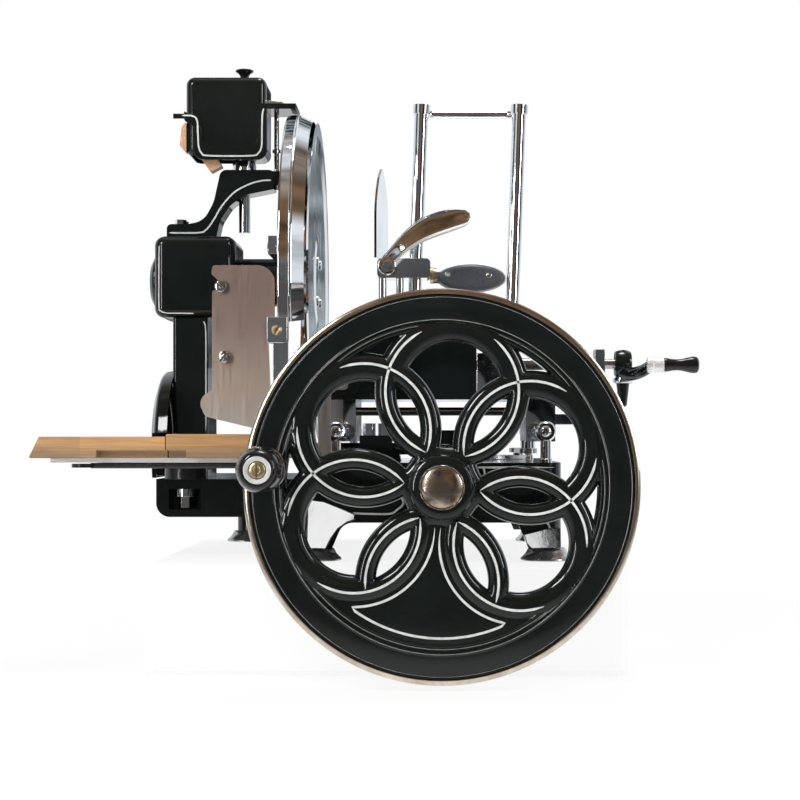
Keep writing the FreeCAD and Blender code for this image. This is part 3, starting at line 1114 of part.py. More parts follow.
def make_column():
    depth = ("-column_half_depth", "column_half_depth")
    inner_depth = ("-column_half_depth + column_wall", "column_half_depth - column_wall")
    inner_x = ("column_left + column_wall", "column_right - column_wall")
    outer = softened("column_outer", box("column_block", ("column_left", "column_right"), depth,
                                         ("arm_top", "housing_bottom")), size("column_corner"), along("Z"))
    inside = box("column_inside", inner_x, inner_depth,
                 ("arm_top + column_floor", "housing_bottom + overcut"))
    bore = rod("column_bore", "X", "cross_shaft_radius + cross_bush_wall",
               ("column_left - overcut", "0", "cross_z"), "column_right - column_left + 2 * overcut")
    node("column_casting", cut("column_casting", outer, inside, bore))

    block = box("housing_block", ("housing_left", "housing_right"),
                ("-housing_half_depth", "housing_half_depth"),
                ("housing_bottom", "housing_top"))
    rounded = softened("housing_rounded", block, size("housing_corner"), lambda edge: True)
    nose = rod("housing_nose", "X", "nose_radius", ("housing_right - overcut", "0", "blade_axis_z"),
               "nose_end - housing_right + overcut")
    chamber = box("housing_chamber", inner_x, inner_depth,
                  ("housing_bottom - overcut", "housing_top - housing_roof"))
    left_bore = rod("housing_left_bore", "X", "blade_shaft_radius + bush_wall",
                    ("housing_left - overcut", "0", "blade_axis_z"),
                    "column_left + column_wall - housing_left + 2 * overcut")
    right_bore = rod("housing_right_bore", "X", "blade_shaft_radius + bush_wall",
                     ("column_right - column_wall - overcut", "0", "blade_axis_z"),
                     "nose_end - column_right + column_wall + 2 * overcut")
    node("blade_housing", cut("blade_housing", fuse("housing_whole", rounded, nose), chamber, left_bore,
                              right_bore))

    depth_cap, cap_radius = size("side_cap_depth"), size("side_cap_radius")
    node("housing_cap", turned("housing_cap", "X", ("housing_left - side_cap_depth", "0", "blade_axis_z"), [
        (0, 0, 0), (cap_radius * 0.7, 0.4, 8), (cap_radius, 4, 3), (cap_radius, depth_cap, 0),
        (0, depth_cap, 0)]))

    radius, deep, wall = size("round_cover_radius"), size("round_cover_depth"), size("cover_wall")
    crown = radius - deep
    dome = turned("round_dome", "X", ("column_left - round_cover_depth", "0", "cross_z"), [
        (0, 0, 0), (crown, 0.8, 20), (radius - wall * 2 / 3, deep * 3 / 8, 5), (radius, deep, 0),
        (radius - wall, deep, 0), (radius - wall * 5 / 3, deep / 2, 4),
        (crown - wall * 2 / 3, wall + 0.8, 16), (0, wall, 0)])
    across = ("column_left - round_cover_depth - overcut", "column_left + overcut")
    front = "-round_cover_radius - overcut"
    low = box("round_low", across, (front, "round_cover_radius + overcut"), ("0", "arm_top + seat_gap"))
    notch = box("round_notch", across, (front, "board_back + overcut"), ("0", "round_cover_notch"))
    node("lower_round_cover", cut("lower_round_cover", dome, low, notch))


# ---------------------------------------------------------------------------------------------
# Blade, guard ring and its arm
# ---------------------------------------------------------------------------------------------
def make_blade():
    radius, thick, bevel = size("blade_radius"), size("blade_thickness"), size("blade_bevel")
    flange, dish, gap = size("flange_radius"), size("blade_dish"), size("running_gap")
    shaft = size("blade_shaft_radius")
    node("blade", turned("blade", "X", ("blade_back", "0", "blade_axis_z"), [
        (shaft + gap, 0, 0), (flange + 12, 0, 0), (radius - bevel - 6, 0, 0), (radius, thick - 0.15, 0),
        (radius, thick, 0), (radius - bevel, thick, 0), (radius - bevel - 14, thick - dish + 0.6, 0),
        (flange + 6, thick - dish + 0.6, 0), (flange, thick - 0.6, 0), (shaft + gap, thick - 0.6, 0)]))
    deep = size("flange_thickness")
    node("blade_flange", turned("blade_flange", "X", ("blade_back - flange_thickness", "0", "blade_axis_z"), [
        (shaft + gap, 0, 0), (flange - 14, 0, 0), (flange - 10, deep - 5, 4), (flange, deep - 4, 1),
        (flange, deep, 0),
        (shaft + gap, deep, 0)]))
    blade_bar = rod("blade_bar", "X", "blade_shaft_radius", ("blade_shaft_left", "0", "blade_axis_z"),
                    "blade_back + blade_thickness - 0.6 - blade_shaft_left")
    node("blade_shaft", group("blade_shaft", blade_bar, sprocket("upper_sprocket", "blade_axis_z")))
    screws = []
    for number in range(4):
        angle = f"{45 + 90 * number} deg"
        screws.append(rod(f"blade_screw{number}", "X", "blade_screw_radius",
                          ("blade_back + blade_thickness - 0.6", f"blade_screw_orbit * cos({angle})",
                           f"blade_axis_z + blade_screw_orbit * sin({angle})"), "blade_screw_height"))
    node("blade_screws", group("blade_screws", *screws))


def make_guard():
    """A chrome ring round the upper part of the blade, a bar across it, and a sheet in front."""
    start, sweep = size("ring_start_degrees"), size("ring_sweep_degrees")
    inside = size("blade_radius") + size("ring_clearance")
    outside = inside + size("ring_wall")
    lip = inside - size("ring_lip")
    left, right = size("ring_left"), size("ring_right")
    lip_wall = size("ring_lip_thickness")
    profile = [(lip, left), (outside, left), (outside, right), (inside, right), (inside, left + lip_wall),
               (lip, left + lip_wall)]
    end = math.radians(start)
    points = [Vector(x, -radius * math.cos(end), radius * math.sin(end)) for radius, x in profile]
    face = Part.Face(Part.makePolygon(points + points[:1]))
    shape = face.revolve(Vector(0, 0, 0), Vector(1, 0, 0), -sweep)
    hoop = place(shaped("guard_hoop", shape), "0", "0", "blade_axis_z")

    def on_end(radius):
        """A point (y, z) on the radius where the ring is cut off."""
        return -radius * math.cos(end), radius * math.sin(end)

    height = size("ring_block_height")
    outer_y, outer_top = on_end(outside + 2)
    inner_y, inner_top = on_end(inside - 2 * size("ring_wall"))
    block = slab("ring_block", "YZ", [
        (outer_y, outer_top, 0), (inner_y, inner_top, 0), (inner_y, inner_top - height, 3),
        (outer_y, outer_top - height + 4, 3)],
        "ring_block_width", ("ring_left - ring_block_width / 2", "0", "blade_axis_z"))
    tail = box("ring_tail", ("ring_left - ring_tail_width / 3", "ring_left + ring_tail_width * 2 / 3"),
               (f"{inner_y} - ring_tail_thickness", f"{inner_y}"),
               (f"blade_axis_z + {inner_top} - ring_tail_drop", f"blade_axis_z + {inner_top - height} + 5"))
    node("guard_ring", group("guard_ring", hoop, fuse("ring_end_block", block, tail)))

    arm_y = ("-(" + RING_OUTSIDE + ")", RING_OUTSIDE)
    bar = box("ring_bar", ("ring_left - ring_arm_thickness", "ring_left"), arm_y,
              ("blade_axis_z + ring_arm_rise", "blade_axis_z + ring_arm_rise + ring_arm_height"))
    eye = rod("ring_eye", "X", "ring_arm_hub_radius", ("ring_left - ring_arm_thickness", "0", "blade_axis_z"),
              "ring_arm_thickness - seat_gap")
    hole = rod("ring_eye_hole", "X", "nose_radius + running_gap",
               ("ring_left - ring_arm_thickness - overcut", "0", "blade_axis_z"),
               "ring_arm_thickness + 2 * overcut")
    node("ring_arm", cut("ring_arm", fuse("ring_arm_whole", bar, eye), hole))

    top, bottom = size("front_guard_top"), size("front_guard_bottom")
    sheet_plate = slab("front_sheet", "XZ", [
        (size("front_guard_left"), bottom, 3), (size("front_guard_right"), bottom, 3),
        (size("front_guard_right"), top, 3), (size("front_guard_left"), top, size("front_guard_corner"))],
        "front_guard_sheet", ("0", "front_guard_y + front_guard_sheet", "0"))
    strap = box("front_strap", ("front_guard_strap_left", "front_guard_strap_left + front_guard_strap_width"),
                ("front_guard_y", "front_guard_y + front_guard_sheet"),
                ("base_top - front_guard_strap_foot", "front_guard_bottom + overcut"))
    node("front_guard", fuse("front_guard", sheet_plate, strap))


# ---------------------------------------------------------------------------------------------
# Swan neck and sharpener
# ---------------------------------------------------------------------------------------------
def make_swan_neck():
    """A neck that rises from a foot on the housing and bends over to the sharpener post."""
    foot, top, pad = size("housing_top"), size("swan_top"), size("swan_foot_height")

    def level(share):
        """A height between the foot and the top of the neck."""
        return foot + share * (top - foot)

    body = slab("swan_body", "XZ", [
        (-229.6, foot, 0), (-188.4, foot, 0), (-185.0, level(0.262), 20), (-177.0, level(0.472), 14),
        (-165.0, level(0.63), 16), (-140.4, level(0.717), 0), (-140.4, top, 4), (-184.5, top, 6),
        (-190.5, level(0.524), 30), (-199.0, foot + pad + 2.5, 16), (-212.0, foot + pad, 8),
        (-229.6, foot + pad, 4)],
        "2 * swan_half_depth", ("0", "swan_half_depth", "0"))
    post_hole = rod("swan_post_hole", "Z", "post_radius + running_gap",
                    ("post_x", "0", "swan_top - post_reach"),
                    "post_reach + overcut")
    pin_pad = box("swan_pad", ("guide_pin_x - swan_pad_half", "guide_pin_x + swan_pad_half - weld"),
                  ("-swan_pad_half", "swan_pad_half"), ("swan_top - 2 * swan_pad_half", "swan_top"))
    pin_hole = rod("swan_pin_hole", "Z", "guide_pin_radius + running_gap",
                   ("guide_pin_x", "0", "swan_top - post_reach"), "post_reach + overcut")
    node("swan_neck_arm", cut("swan_neck_arm", fuse("swan_whole", body, pin_pad), post_hole, pin_hole))


def make_sharpener():
    """Box on its post, cradle with two ears, guide pin, two stones and the press knob."""
    depth = ("-sharpener_half_depth", "sharpener_half_depth")
    block = softened("sharpener_block", box("sharpener_raw", ("sharpener_left", "sharpener_right"), depth,
                                            ("sharpener_bottom", "sharpener_top")), size("sharpener_corner"),
                     lambda edge: True)
    inside = box("sharpener_inside", ("sharpener_left + sharpener_wall", "post_x - 2 * sharpener_wall"),
                 ("-sharpener_half_depth + sharpener_wall", "sharpener_half_depth - sharpener_wall"),
                 ("sharpener_bottom - overcut", "sharpener_top - sharpener_wall - plunger_hole_depth"))
    stem_hole = rod("sharpener_stem_hole", "Z", "plunger_stem_radius + running_gap",
                    ("post_x", "0", "sharpener_top - plunger_hole_depth"), "plunger_hole_depth + overcut")
    post_hole = rod("sharpener_post_hole", "Z", "post_radius + running_gap",
                    ("post_x", "0", "sharpener_bottom - overcut"), "post_socket + 2 * overcut")
    pin_holes = [rod(f"sharpener_stone_hole{number}", "X", "stone_spindle_radius + running_gap",
                     ("sharpener_left - overcut", y, "sharpener_bottom + stone_height"),
                     "stone_spindle_length - stone_spindle_lead + 2 * overcut")
                 for number, y in enumerate(("-stone_spread", "stone_spread"))]
    node("sharpener_body", cut("sharpener_body", block, inside, stem_hole, post_hole, *pin_holes))

    collar = rod("post_collar", "Z", "post_collar_radius", ("post_x", "0", "swan_top"),
                 "sharpener_bottom - swan_top")
    shank = rod("post_shank", "Z", "post_radius", ("post_x", "0", "post_bottom"),
                "sharpener_bottom + post_socket - post_bottom")
    post = fuse("sharpener_post", collar, shank)

    left, right, low = size("sharpener_left"), size("sharpener_right"), size("tray_bottom")
    ear_top = size("flange_right_z") + size("ear_thickness")
    front = slab("tray_front", "XZ", [
        (left + 7, low, 8), (right + 1, low, 8), (right + 1, ear_top, 0),
        (right - 6, ear_top, 0), (right - 6, low + 12, 8), (left + 14, low + 12, 8),
        (left + 13, low + 34, 6), (left - 1, low + 40, 0), (left - 1, low + 32, 4), (left + 7, low + 28, 6)],
        "tray_thickness", ("0", "-sharpener_half_depth", "0"))
    left_ear = box("tray_left_ear", ("flange_left_end", "sharpener_left + 2"),
                   ("-sharpener_half_depth - tray_thickness", "-sharpener_half_depth"),
                   ("tray_bottom + left_ear_rise", "tray_bottom + left_ear_rise + left_ear_thickness"))
    right_ear = box("tray_right_ear", ("sharpener_right", "flange_right_end"),
                    ("-sharpener_half_depth - tray_thickness", "right_ear_back"),
                    ("flange_right_z", "flange_right_z + ear_thickness"))
    pin_hole = rod("tray_pin_hole", "Z", "guide_pin_radius", ("guide_pin_x", "0", "flange_right_z - overcut"),
                   "ear_thickness + 2 * overcut")
    node("sharpener_cradle", cut("sharpener_cradle", fuse("cradle_whole", front, left_ear, right_ear),
                                 pin_hole))

    pin = rod("pin_shank", "Z", "guide_pin_radius", ("guide_pin_x", "0", "guide_pin_bottom"),
              "flange_right_z + ear_thickness - guide_pin_bottom")
    pin_ring = rod("pin_ring", "Z", "guide_pin_radius + pin_ring_wall",
                   ("guide_pin_x", "0", "swan_top + guide_pin_reach"), "pin_ring_height")
    node("sharpener_posts", group("sharpener_posts", post, fuse("guide_pin", pin, pin_ring)))

    stem, cap = size("plunger_stem_radius"), size("plunger_radius")
    top = size("sharpener_top")
    under = size("plunger_cap_z")
    start = top - size("plunger_socket")
    cap_top = under + size("plunger_cap_height")
    node("sharpener_knob", turned("sharpener_knob", "Z", ("post_x", "0", "0"), [
        (0, start, 0), (stem, start, 0), (stem, under, 0), (cap - 1, under, 0), (cap, under + 1.8, 1),
        (cap - 2.5, cap_top - 0.6, 2), (0, cap_top, 0)]))
    height = "sharpener_bottom + stone_height"
    for name, y in (("grinding_stone", "-stone_spread"), ("deburring_stone", "stone_spread")):
        disc = rod(f"{name}_disc", "X", "stone_radius", ("sharpener_left + 2 * sharpener_wall", y, height),
                   "stone_thickness")
        spindle = rod(f"{name}_spindle", "X", "stone_spindle_radius",
                      ("sharpener_left - stone_spindle_lead", y, height), "stone_spindle_length")
        node(name, fuse(name, disc, spindle))


# ---------------------------------------------------------------------------------------------
# Slice deflector and receiving board
# ---------------------------------------------------------------------------------------------
def make_deflector():
    """A sheet in front of the blade that hangs on two studs and turns the slices down to the board."""
    low = size("board_top") + size("deflector_clearance")
    shaft, stud, stud_z = size("blade_axis_z"), size("stud_x"), size("stud_top_z")
    top = shaft + size("deflector_rise")
    plate = slab("deflector_sheet", "XZ", [
        (-181, low + 31.2, 2), (-192.3, low + 23.2, 9), (-186.5, low + 10, 8), (-145, low, 3),
        (-134, low + 10.2, 12),
        (-136.5, low + 68.2, 10), (-131.6, shaft - 35.2, 16), (-131.6, top, 14), (-181, top, 3),
        (-181.5, top - 7, 2),
        (stud + 4, stud_z - 1, 3.4), (stud - 3, stud_z - 4, 2), (-181, stud_z, 2)],
        "deflector_thickness", ("0", "deflector_y + deflector_thickness", "0"))
    holes = [rod(f"deflector_{name}_hole", "Y", "stud_radius + seat_gap", (x, "deflector_y - overcut", z),
                 "deflector_thickness + 2 * overcut")
             for name, x, z in (("top", "stud_x", "stud_top_z"), ("low", "stud_low_x", "stud_low_z"))]
    node("deflector_plate", cut("deflector_plate", plate, *holes))
    studs = []
    for name, x, z, back in (("top", "stud_x", "stud_top_z", "-housing_half_depth"),
                             ("low", "stud_low_x", "stud_low_z",
                              "-column_half_depth + stud_strap_thickness")):
        head_back = "deflector_y - seat_gap"
        shank = rod(f"stud_{name}", "Y", "stud_radius", (x, f"{head_back} - weld", z),
                    f"{back} - {head_back} + weld")
        head = rod(f"stud_head_{name}", "Y", "stud_radius + stud_head_wall",
                   (x, f"{head_back} - stud_head_height", z),
                   "stud_head_height")
        shoulder = rod(f"stud_shoulder_{name}", "Y", "stud_radius + stud_head_wall",
                       (x, "deflector_y + deflector_thickness + seat_gap", z), "2 * stud_head_height")
        studs.append(fuse(f"stud_whole_{name}", shank, head, shoulder))
    strap = box("stud_strap", ("column_right", "stud_low_x + stud_strap_thickness"),
                ("-column_half_depth + stud_strap_thickness",
                 "-column_half_depth + 2 * stud_strap_thickness"),
                ("stud_low_z - stud_strap_thickness", "stud_low_z + stud_strap_thickness"))
    node("deflector_studs", group("deflector_studs", *studs, strap))


def make_board():
    board_y = ("board_front", "board_back")
    recess_y = ("board_front - overcut", "board_front + recess_depth")
    recess_z = ("board_bottom - overcut", "board_bottom + recess_height")
    board = box("board_block", ("board_joint + seat_gap", "board_right"), board_y,
                ("board_bottom", "board_top"))
    recess_right = box("board_recess", ("board_joint - overcut", "recess_right"), recess_y, recess_z)
    node("receiving_board", cut("receiving_board", board, recess_right))
    left, slant = size("leaf_left"), size("leaf_slant")
    leaf = slab("leaf_block", "XZ", [
        (left, size("board_bottom"), 1), (size("board_joint"), size("board_bottom"), 0),
        (size("board_joint"), size("leaf_top"), 0), (left + slant, size("leaf_top"), 1.5)],
        "board_back - board_front", ("0", "board_back", "0"))
    recess_left = box("leaf_recess", ("recess_left", "board_joint + overcut"), recess_y, recess_z)
    node("board_leaf", cut("board_leaf", leaf, recess_left))
    strips = []
    for number, side in enumerate(("-rail_spacing / 2", "rail_spacing / 2")):
        middle = f"(board_front + board_back) / 2 + {side}"
        strips.append(box(f"strip{number}", ("strip_left", "strip_right"),
                          (f"{middle} - strip_width / 2", f"{middle} + strip_width / 2"),
                          (STRIP_BOTTOM, "board_bottom")))
    node("board_strips", group("board_strips", *strips))

    rails = []
    for number, side in enumerate(("-rail_spacing / 2", "rail_spacing / 2")):
        middle = f"(board_front + board_back) / 2 + {side}"
        rails.append(rod(f"rail{number}", "X", "rail_radius", ("rail_left", middle, RAIL_Z),
                         "rail_right - rail_left"))
    tie_y = "(board_front + board_back) / 2 - rail_spacing / 2"
    tie = box("rail_tie", ("rail_right - rail_radius", "rail_right + rail_radius"),
              (f"{tie_y} - rail_radius - weld", f"{tie_y} + rail_spacing + rail_radius + weld"),
              (f"{RAIL_Z} - rail_plate_half", f"{RAIL_Z} + rail_plate_half"))
    plate = box("rail_plate", ("pivot_x - rail_plate_reach", "pivot_x + rail_plate_reach"),
                (f"{tie_y} - weld", f"{tie_y} + rail_spacing + weld"),
                (f"{RAIL_Z} - rail_plate_half", f"{RAIL_Z} + rail_plate_half"))
    eye_at = ("rail_left - rail_eye_radius + rail_eye_lap", tie_y)
    eye_disc = rod("rail_eye_disc", "Z", "rail_eye_radius", (*eye_at, f"{RAIL_Z} - rail_plate_half"),
                   "2 * rail_plate_half")
    eye_hole = rod("rail_eye_hole", "Z", "rail_eye_radius - rail_eye_wall",
                   (*eye_at, f"{RAIL_Z} - rail_radius - overcut"), "2 * rail_radius + 2 * overcut")
    frame = cut("rail_frame", fuse("rail_whole", *rails, tie, plate, eye_disc), eye_hole)

    lug_bottom = "(arm_top - lug_thickness)"
    disc = rod("pivot_disc", "Z", "pivot_disc_radius", ("pivot_x", "pivot_y", "arm_top"),
               f"{RAIL_Z} - rail_plate_half - arm_top")
    washer = rod("pivot_washer", "Z", "pivot_washer_radius",
                 ("pivot_x", "pivot_y", f"{lug_bottom} - pivot_washer_height"),
                 "pivot_washer_height")
    head = hexagon("pivot_head", "Z", "pivot_bolt_radius",
                   ("pivot_x", "pivot_y", f"{lug_bottom} - pivot_washer_height - pivot_head_height"),
                   "pivot_head_height")
    shank = rod("pivot_shank", "Z", "pivot_shank_radius", ("pivot_x", "pivot_y", f"{lug_bottom} - weld"),
                "lug_thickness + 2 * weld")
    node("board_rails", group("board_rails", frame, fuse("board_pivot", disc, washer, head, shank)))


# ---------------------------------------------------------------------------------------------
# Carriage, meat table, feed slide and feed screw
# ---------------------------------------------------------------------------------------------
def make_carriage():
    shoes = []
    for side, x in (("left", "guide_left_x"), ("right", "guide_right_x")):
        block = box(f"shoe_{side}", (f"{x} - shoe_width / 2", f"{x} + shoe_width / 2"),
                    ("-shoe_half_length", "shoe_half_length"), ("shoe_bottom", "table_bottom"))
        bore = rod(f"shoe_bore_{side}", "Y", "guide_radius + running_gap",
                   (x, "-shoe_half_length - overcut", "guide_z"),
                   "2 * (shoe_half_length + overcut)")
        holes = [rod(f"shoe_hole_{side}{number}", "X", "cross_rod_radius + running_gap",
                     (f"{x} - shoe_width", y, "cross_rod_z"), "2 * shoe_width")
                 for number, y in enumerate(("-cross_rod_y", "cross_rod_y"))]
        shoe = cut(f"shoe_drilled_{side}", block, bore, *holes)
        if side == "right":
            wrist = rod("wrist_pin", "Z", "wrist_radius", ("wrist_x", "wrist_y", f"{ROD_BOTTOM} - 0.1"),
                        f"shoe_bottom + 0.5 - {ROD_BOTTOM}")
            stop = rod("wrist_stop", "Z", "wrist_radius + 3", ("wrist_x", "wrist_y", f"{ROD_TOP} + seat_gap"),
                       f"shoe_bottom + 0.5 - {ROD_TOP} - seat_gap")
            shoe = fuse("shoe_with_wrist", shoe, wrist, stop)
        shoes.append(shoe)
    node("carriage_shoes", group("carriage_shoes", *shoes))
    rods = [rod(f"cross_rod{number}", "X", "cross_rod_radius",
                ("guide_left_x - shoe_width / 2", y, "cross_rod_z"),
                "guide_right_x - guide_left_x + shoe_width")
            for number, y in enumerate(("-cross_rod_y", "cross_rod_y"))]
    node("carriage_rods", group("carriage_rods", *rods))

    depth = ("-table_half_depth", "table_half_depth")
    deck = box("table_deck_plate", ("table_left", "guide_right_x + shoe_width / 2"), depth,
               ("table_bottom", "table_bottom + table_deck"))
    upper = box("table_upper", ("table_left", "table_right"), depth, ("table_bottom", "table_top"))
    hollow = box("table_hollow", ("table_left + table_wall", "table_right + overcut"),
                 ("-table_half_depth + table_wall", "table_half_depth - table_wall"),
                 ("table_bottom + table_deck", "table_top - table_wall"))
    slot = box("table_slot", ("slot_left", "table_right + overcut"), ("-slot_half_width", "slot_half_width"),
               ("table_top - table_wall - overcut", "table_top + overcut"))
    screw_hole = rod("table_screw_hole", "X", "screw_radius + running_gap",
                     ("table_left - overcut", "0", "screw_z"), "table_wall + 2 * overcut")
    node("meat_table", cut("meat_table", fuse("table_whole", deck, upper), hollow, slot, screw_hole))
    plate = box("top_plate", ("table_left", "table_right"), depth, ("table_top", PLATE_TOP))
    plate_slot = box("top_plate_slot", ("slot_left", "table_right + overcut"),
                     ("-slot_half_width", "slot_half_width"),
                     ("table_top - overcut", f"{PLATE_TOP} + overcut"))
    panel = box("side_panel", ("table_right + seat_gap", "side_panel_right"),
                ("-table_half_depth", "-table_half_depth + side_panel_thickness"),
                ("table_bottom + table_deck", "side_panel_top"))
    node("table_plates", group("table_plates", cut("top_plate_slotted", plate, plate_slot), panel))

    bracket_right = "(bracket_left + bracket_thickness)"
    reach = box("bracket_reach", ("guide_right_x + shoe_width / 2", bracket_right),
                ("-bracket_half_depth", "bracket_half_depth"),
                ("bracket_arm_bottom", "bracket_arm_bottom + bracket_arm_height"))
    upright = box("bracket_upright", ("bracket_left", bracket_right),
                  ("-bracket_half_depth", "bracket_half_depth"),
                  ("bracket_arm_bottom", "bracket_top"))
    bore = rod("bracket_bore", "X", "crank_neck_radius + running_gap",
               ("bracket_left - overcut", "0", "screw_z"), "bracket_thickness + 2 * overcut")
    node("screw_bracket", cut("screw_bracket", fuse("bracket_whole", reach, upright), bore))


def make_feed_slide():
    beam = box("feed_beam", ("feed_left", "feed_right"), ("feed_front", "feed_back"), (BEAM_BOTTOM, BEAM_TOP))
    arm = box("feed_arm", ("nut_left", "nut_right"), ("-nut_half_width", "feed_front + overcut"),
              (BEAM_BOTTOM, f"{BEAM_BOTTOM} + 7"))
    stem = box("feed_stem", ("nut_left", "nut_right"), ("-nut_half_width", "nut_half_width"),
               ("nut_bottom", f"{BEAM_BOTTOM} + 7"))
    bore = rod("feed_bore", "X", "screw_radius + running_gap", ("nut_left - overcut", "0", "screw_z"),
               "nut_right - nut_left + 2 * overcut")
    node("feed_slide", cut("feed_slide", fuse("feed_whole", beam, arm, stem), bore))


def post_axis_point(height, right):
    """A point on one leaning post, at a height along it above the feed beam."""
    beam_top = size("table_top") + size("top_plate_thickness") + size("seat_gap") + size("feed_thickness")
    lean = math.radians(size("post_lean"))
    x = size("post_left_x") + (size("post_spacing") if right else 0)
    return Vector(x + height * math.sin(lean), size("post_y"), beam_top + height * math.cos(lean))


def make_posts():
    """Two leaning posts with collars, and the bowed bar between their tops."""
    lean = math.radians(size("post_lean"))
    direction = Vector(math.sin(lean), 0, math.cos(lean))
    radius, length, sunk = size("tall_post_radius"), size("post_length"), 2 * size("overcut")
    collar, wall = size("post_collar_height"), size("post_collar_wall")
    shapes = []
    for right in (False, True):
        foot = post_axis_point(0, right)
        below = Part.makeBox(4 * radius, 4 * radius, 2 * sunk,
                             foot - Vector(2 * radius, 2 * radius, 2 * sunk))
        post = Part.makeCylinder(radius, length + sunk, post_axis_point(-sunk, right), direction).cut(below)
        top = Part.makeCylinder(radius + wall, collar, post_axis_point(length - collar, right), direction)
        shapes.append(post.fuse(top).removeSplitter())
    posts = shaped("leaning_posts", Part.makeCompound(shapes))

    left, right = post_axis_point(length - collar / 2, False), post_axis_point(length - collar / 2, True)
    bow, bar, bend = size("bar_bow"), size("bar_radius"), size("bar_bend")
    step = Vector(0, radius + wall + size("running_gap"), 0)
    p0, p5 = left + step, right + step
    back = Vector(0, bow, 0)
    p1, p4 = left + back - Vector(0, bend, 0), right + back - Vector(0, bend, 0)
    p2, p3 = left + back + Vector(bend, 0, 0), right + back - Vector(bend, 0, 0)
    m1 = left + back + Vector(bend, -bend, 0) + Vector(-bend, bend, 0) * math.sqrt(0.5)
    m2 = right + back + Vector(-bend, -bend, 0) + Vector(bend, bend, 0) * math.sqrt(0.5)
    path = Part.Wire([Part.LineSegment(p0, p1).toShape(), Part.Arc(p1, m1, p2).toShape(),
                      Part.LineSegment(p2, p3).toShape(), Part.Arc(p3, m2, p4).toShape(),
                      Part.LineSegment(p4, p5).toShape()])
    profile = Part.Wire(Part.makeCircle(bar, p0, Vector(0, 1, 0)))
    bar_piece = shaped("top_bar", path.makePipeShell([profile], True, False))
    node("clamp_posts", group("clamp_posts", posts, bar_piece))


def make_clamp():
    """Block on the left post with its prongs, holding plate, spoon lever and handle."""
    block = softened("clamp_block", box("clamp_raw", ("clamp_left", "clamp_right"),
                                        ("clamp_front", "clamp_back"),
                                        ("clamp_bottom", "clamp_top")), size("clamp_corner"), along("Y"))
    lean = math.radians(size("post_lean"))
    direction = Vector(math.sin(lean), 0, math.cos(lean))
    bore = shaped("clamp_bore", Part.makeCylinder(size("tall_post_radius") + size("running_gap"),
                                                  size("post_length"), post_axis_point(0, False), direction))
    left, right = "clamp_left + prong_inset", "clamp_left + prong_inset + prong_spacing"
    front, back = "clamp_front + prong_inset", "clamp_back - prong_inset"
    prongs = [rod(f"prong{number}", "Z", "prong_radius", (x, y, "prong_bottom"),
                  "clamp_bottom + weld - prong_bottom")
              for number, (x, y) in enumerate(((left, front), (right, front), (left, back)))]
    pin = rod("clamp_lever_pin", "Y", "lever_pin_radius",
              ("lever_pivot_x", "lever_front - lever_pin_lead", "lever_pivot_z"),
              "clamp_front - lever_front + lever_pin_lead + weld")
    node("clamp_body", cut("clamp_body", fuse("clamp_whole", block, pin, *prongs), bore))

    half, high = size("leaf_half_width"), size("leaf_height")
    turn = FreeCAD.Rotation(Vector(0, 0, 1), -size("leaf_turn"))
    node("clamp_plate", slab("clamp_plate", "YZ", [
        (-half, 0, 0), (half, 0, 0), (half, high * 0.62, 60), (half * 0.45, high * 0.9, 20), (0, high, 2),
        (-half * 0.45, high * 0.9, 20), (-half, high * 0.62, 60)],
        "leaf_sheet", ("clamp_left + prong_inset / 2", "(clamp_front + clamp_back) / 2 - prong_radius",
                       "clamp_top"),
        turn))

    x, z = size("lever_pivot_x"), size("lever_pivot_z")
    spoon = slab("lever_spoon", "XZ", [
        (x - 7, z - 6, 4), (x + 9, z - 6, 5), (x + 19, z + 10, 12), (x + 55, z + 29, 30),
        (x + 67, z + 34, 12),
        (x + 74, z + 44, 6), (x + 67, z + 50.5, 8), (x + 47, z + 50, 24), (x + 25, z + 39, 20),
        (x + 13, z + 20, 16),
        (x + 3, z + 12, 8), (x - 7, z + 8, 5)],
        "clamp_front - seat_gap - lever_front", ("0", "clamp_front - seat_gap", "0"))
    bore = rod("lever_bore", "Y", "lever_pin_radius + running_gap",
               ("lever_pivot_x", "lever_front - overcut", "lever_pivot_z"),
               "clamp_front - lever_front + overcut")
    node("clamp_lever", cut("clamp_lever", spoon, bore))

    left, right = size("scale_left"), size("scale_right")
    middle, half_height = size("scale_z"), size("scale_half_height")
    neck_end = size("clamp_right")
    node("grip_tang", slab("grip_tang", "XZ", [
        (neck_end, middle - 4.6, 0), (left + 3.5, middle - 4.6, 10), (left + 8, middle - 7.6, 8),
        (right - 8, middle - 7.6, 6), (right - 2, middle - 0.6, 4), (right - 8, middle + 7.4, 6),
        (left + 8, middle + 7.4, 8), (left + 3.5, middle + 5.4, 10), (neck_end, middle + 5.4, 0)],
        "tang_back - tang_front", ("0", "tang_back", "0")))
    centre = Vector((left + right) / 2, 0, middle)
    oval = Part.Ellipse(Vector(0, 0, 0), (right - left) / 2, half_height).toShape()
    face = Part.Face(Part.Wire(oval))
    face.rotate(Vector(0, 0, 0), Vector(1, 0, 0), 90)
    scales = []
    for start, depth in ((size("tang_front"), -size("scale_depth")),
                         (size("tang_back"), size("scale_depth"))):
        blank = face.copy()
        blank.translate(centre + Vector(0, start, 0))
        solid = blank.extrude(Vector(0, depth, 0))
        outer = [edge for edge in solid.Edges
                 if abs(edge.CenterOfMass.y - start - depth) < size("running_gap")]
        scales.append(solid.makeFillet(size("scale_corner"), outer))
    node("grip_scales", shaped("grip_scales", Part.makeCompound(scales)))


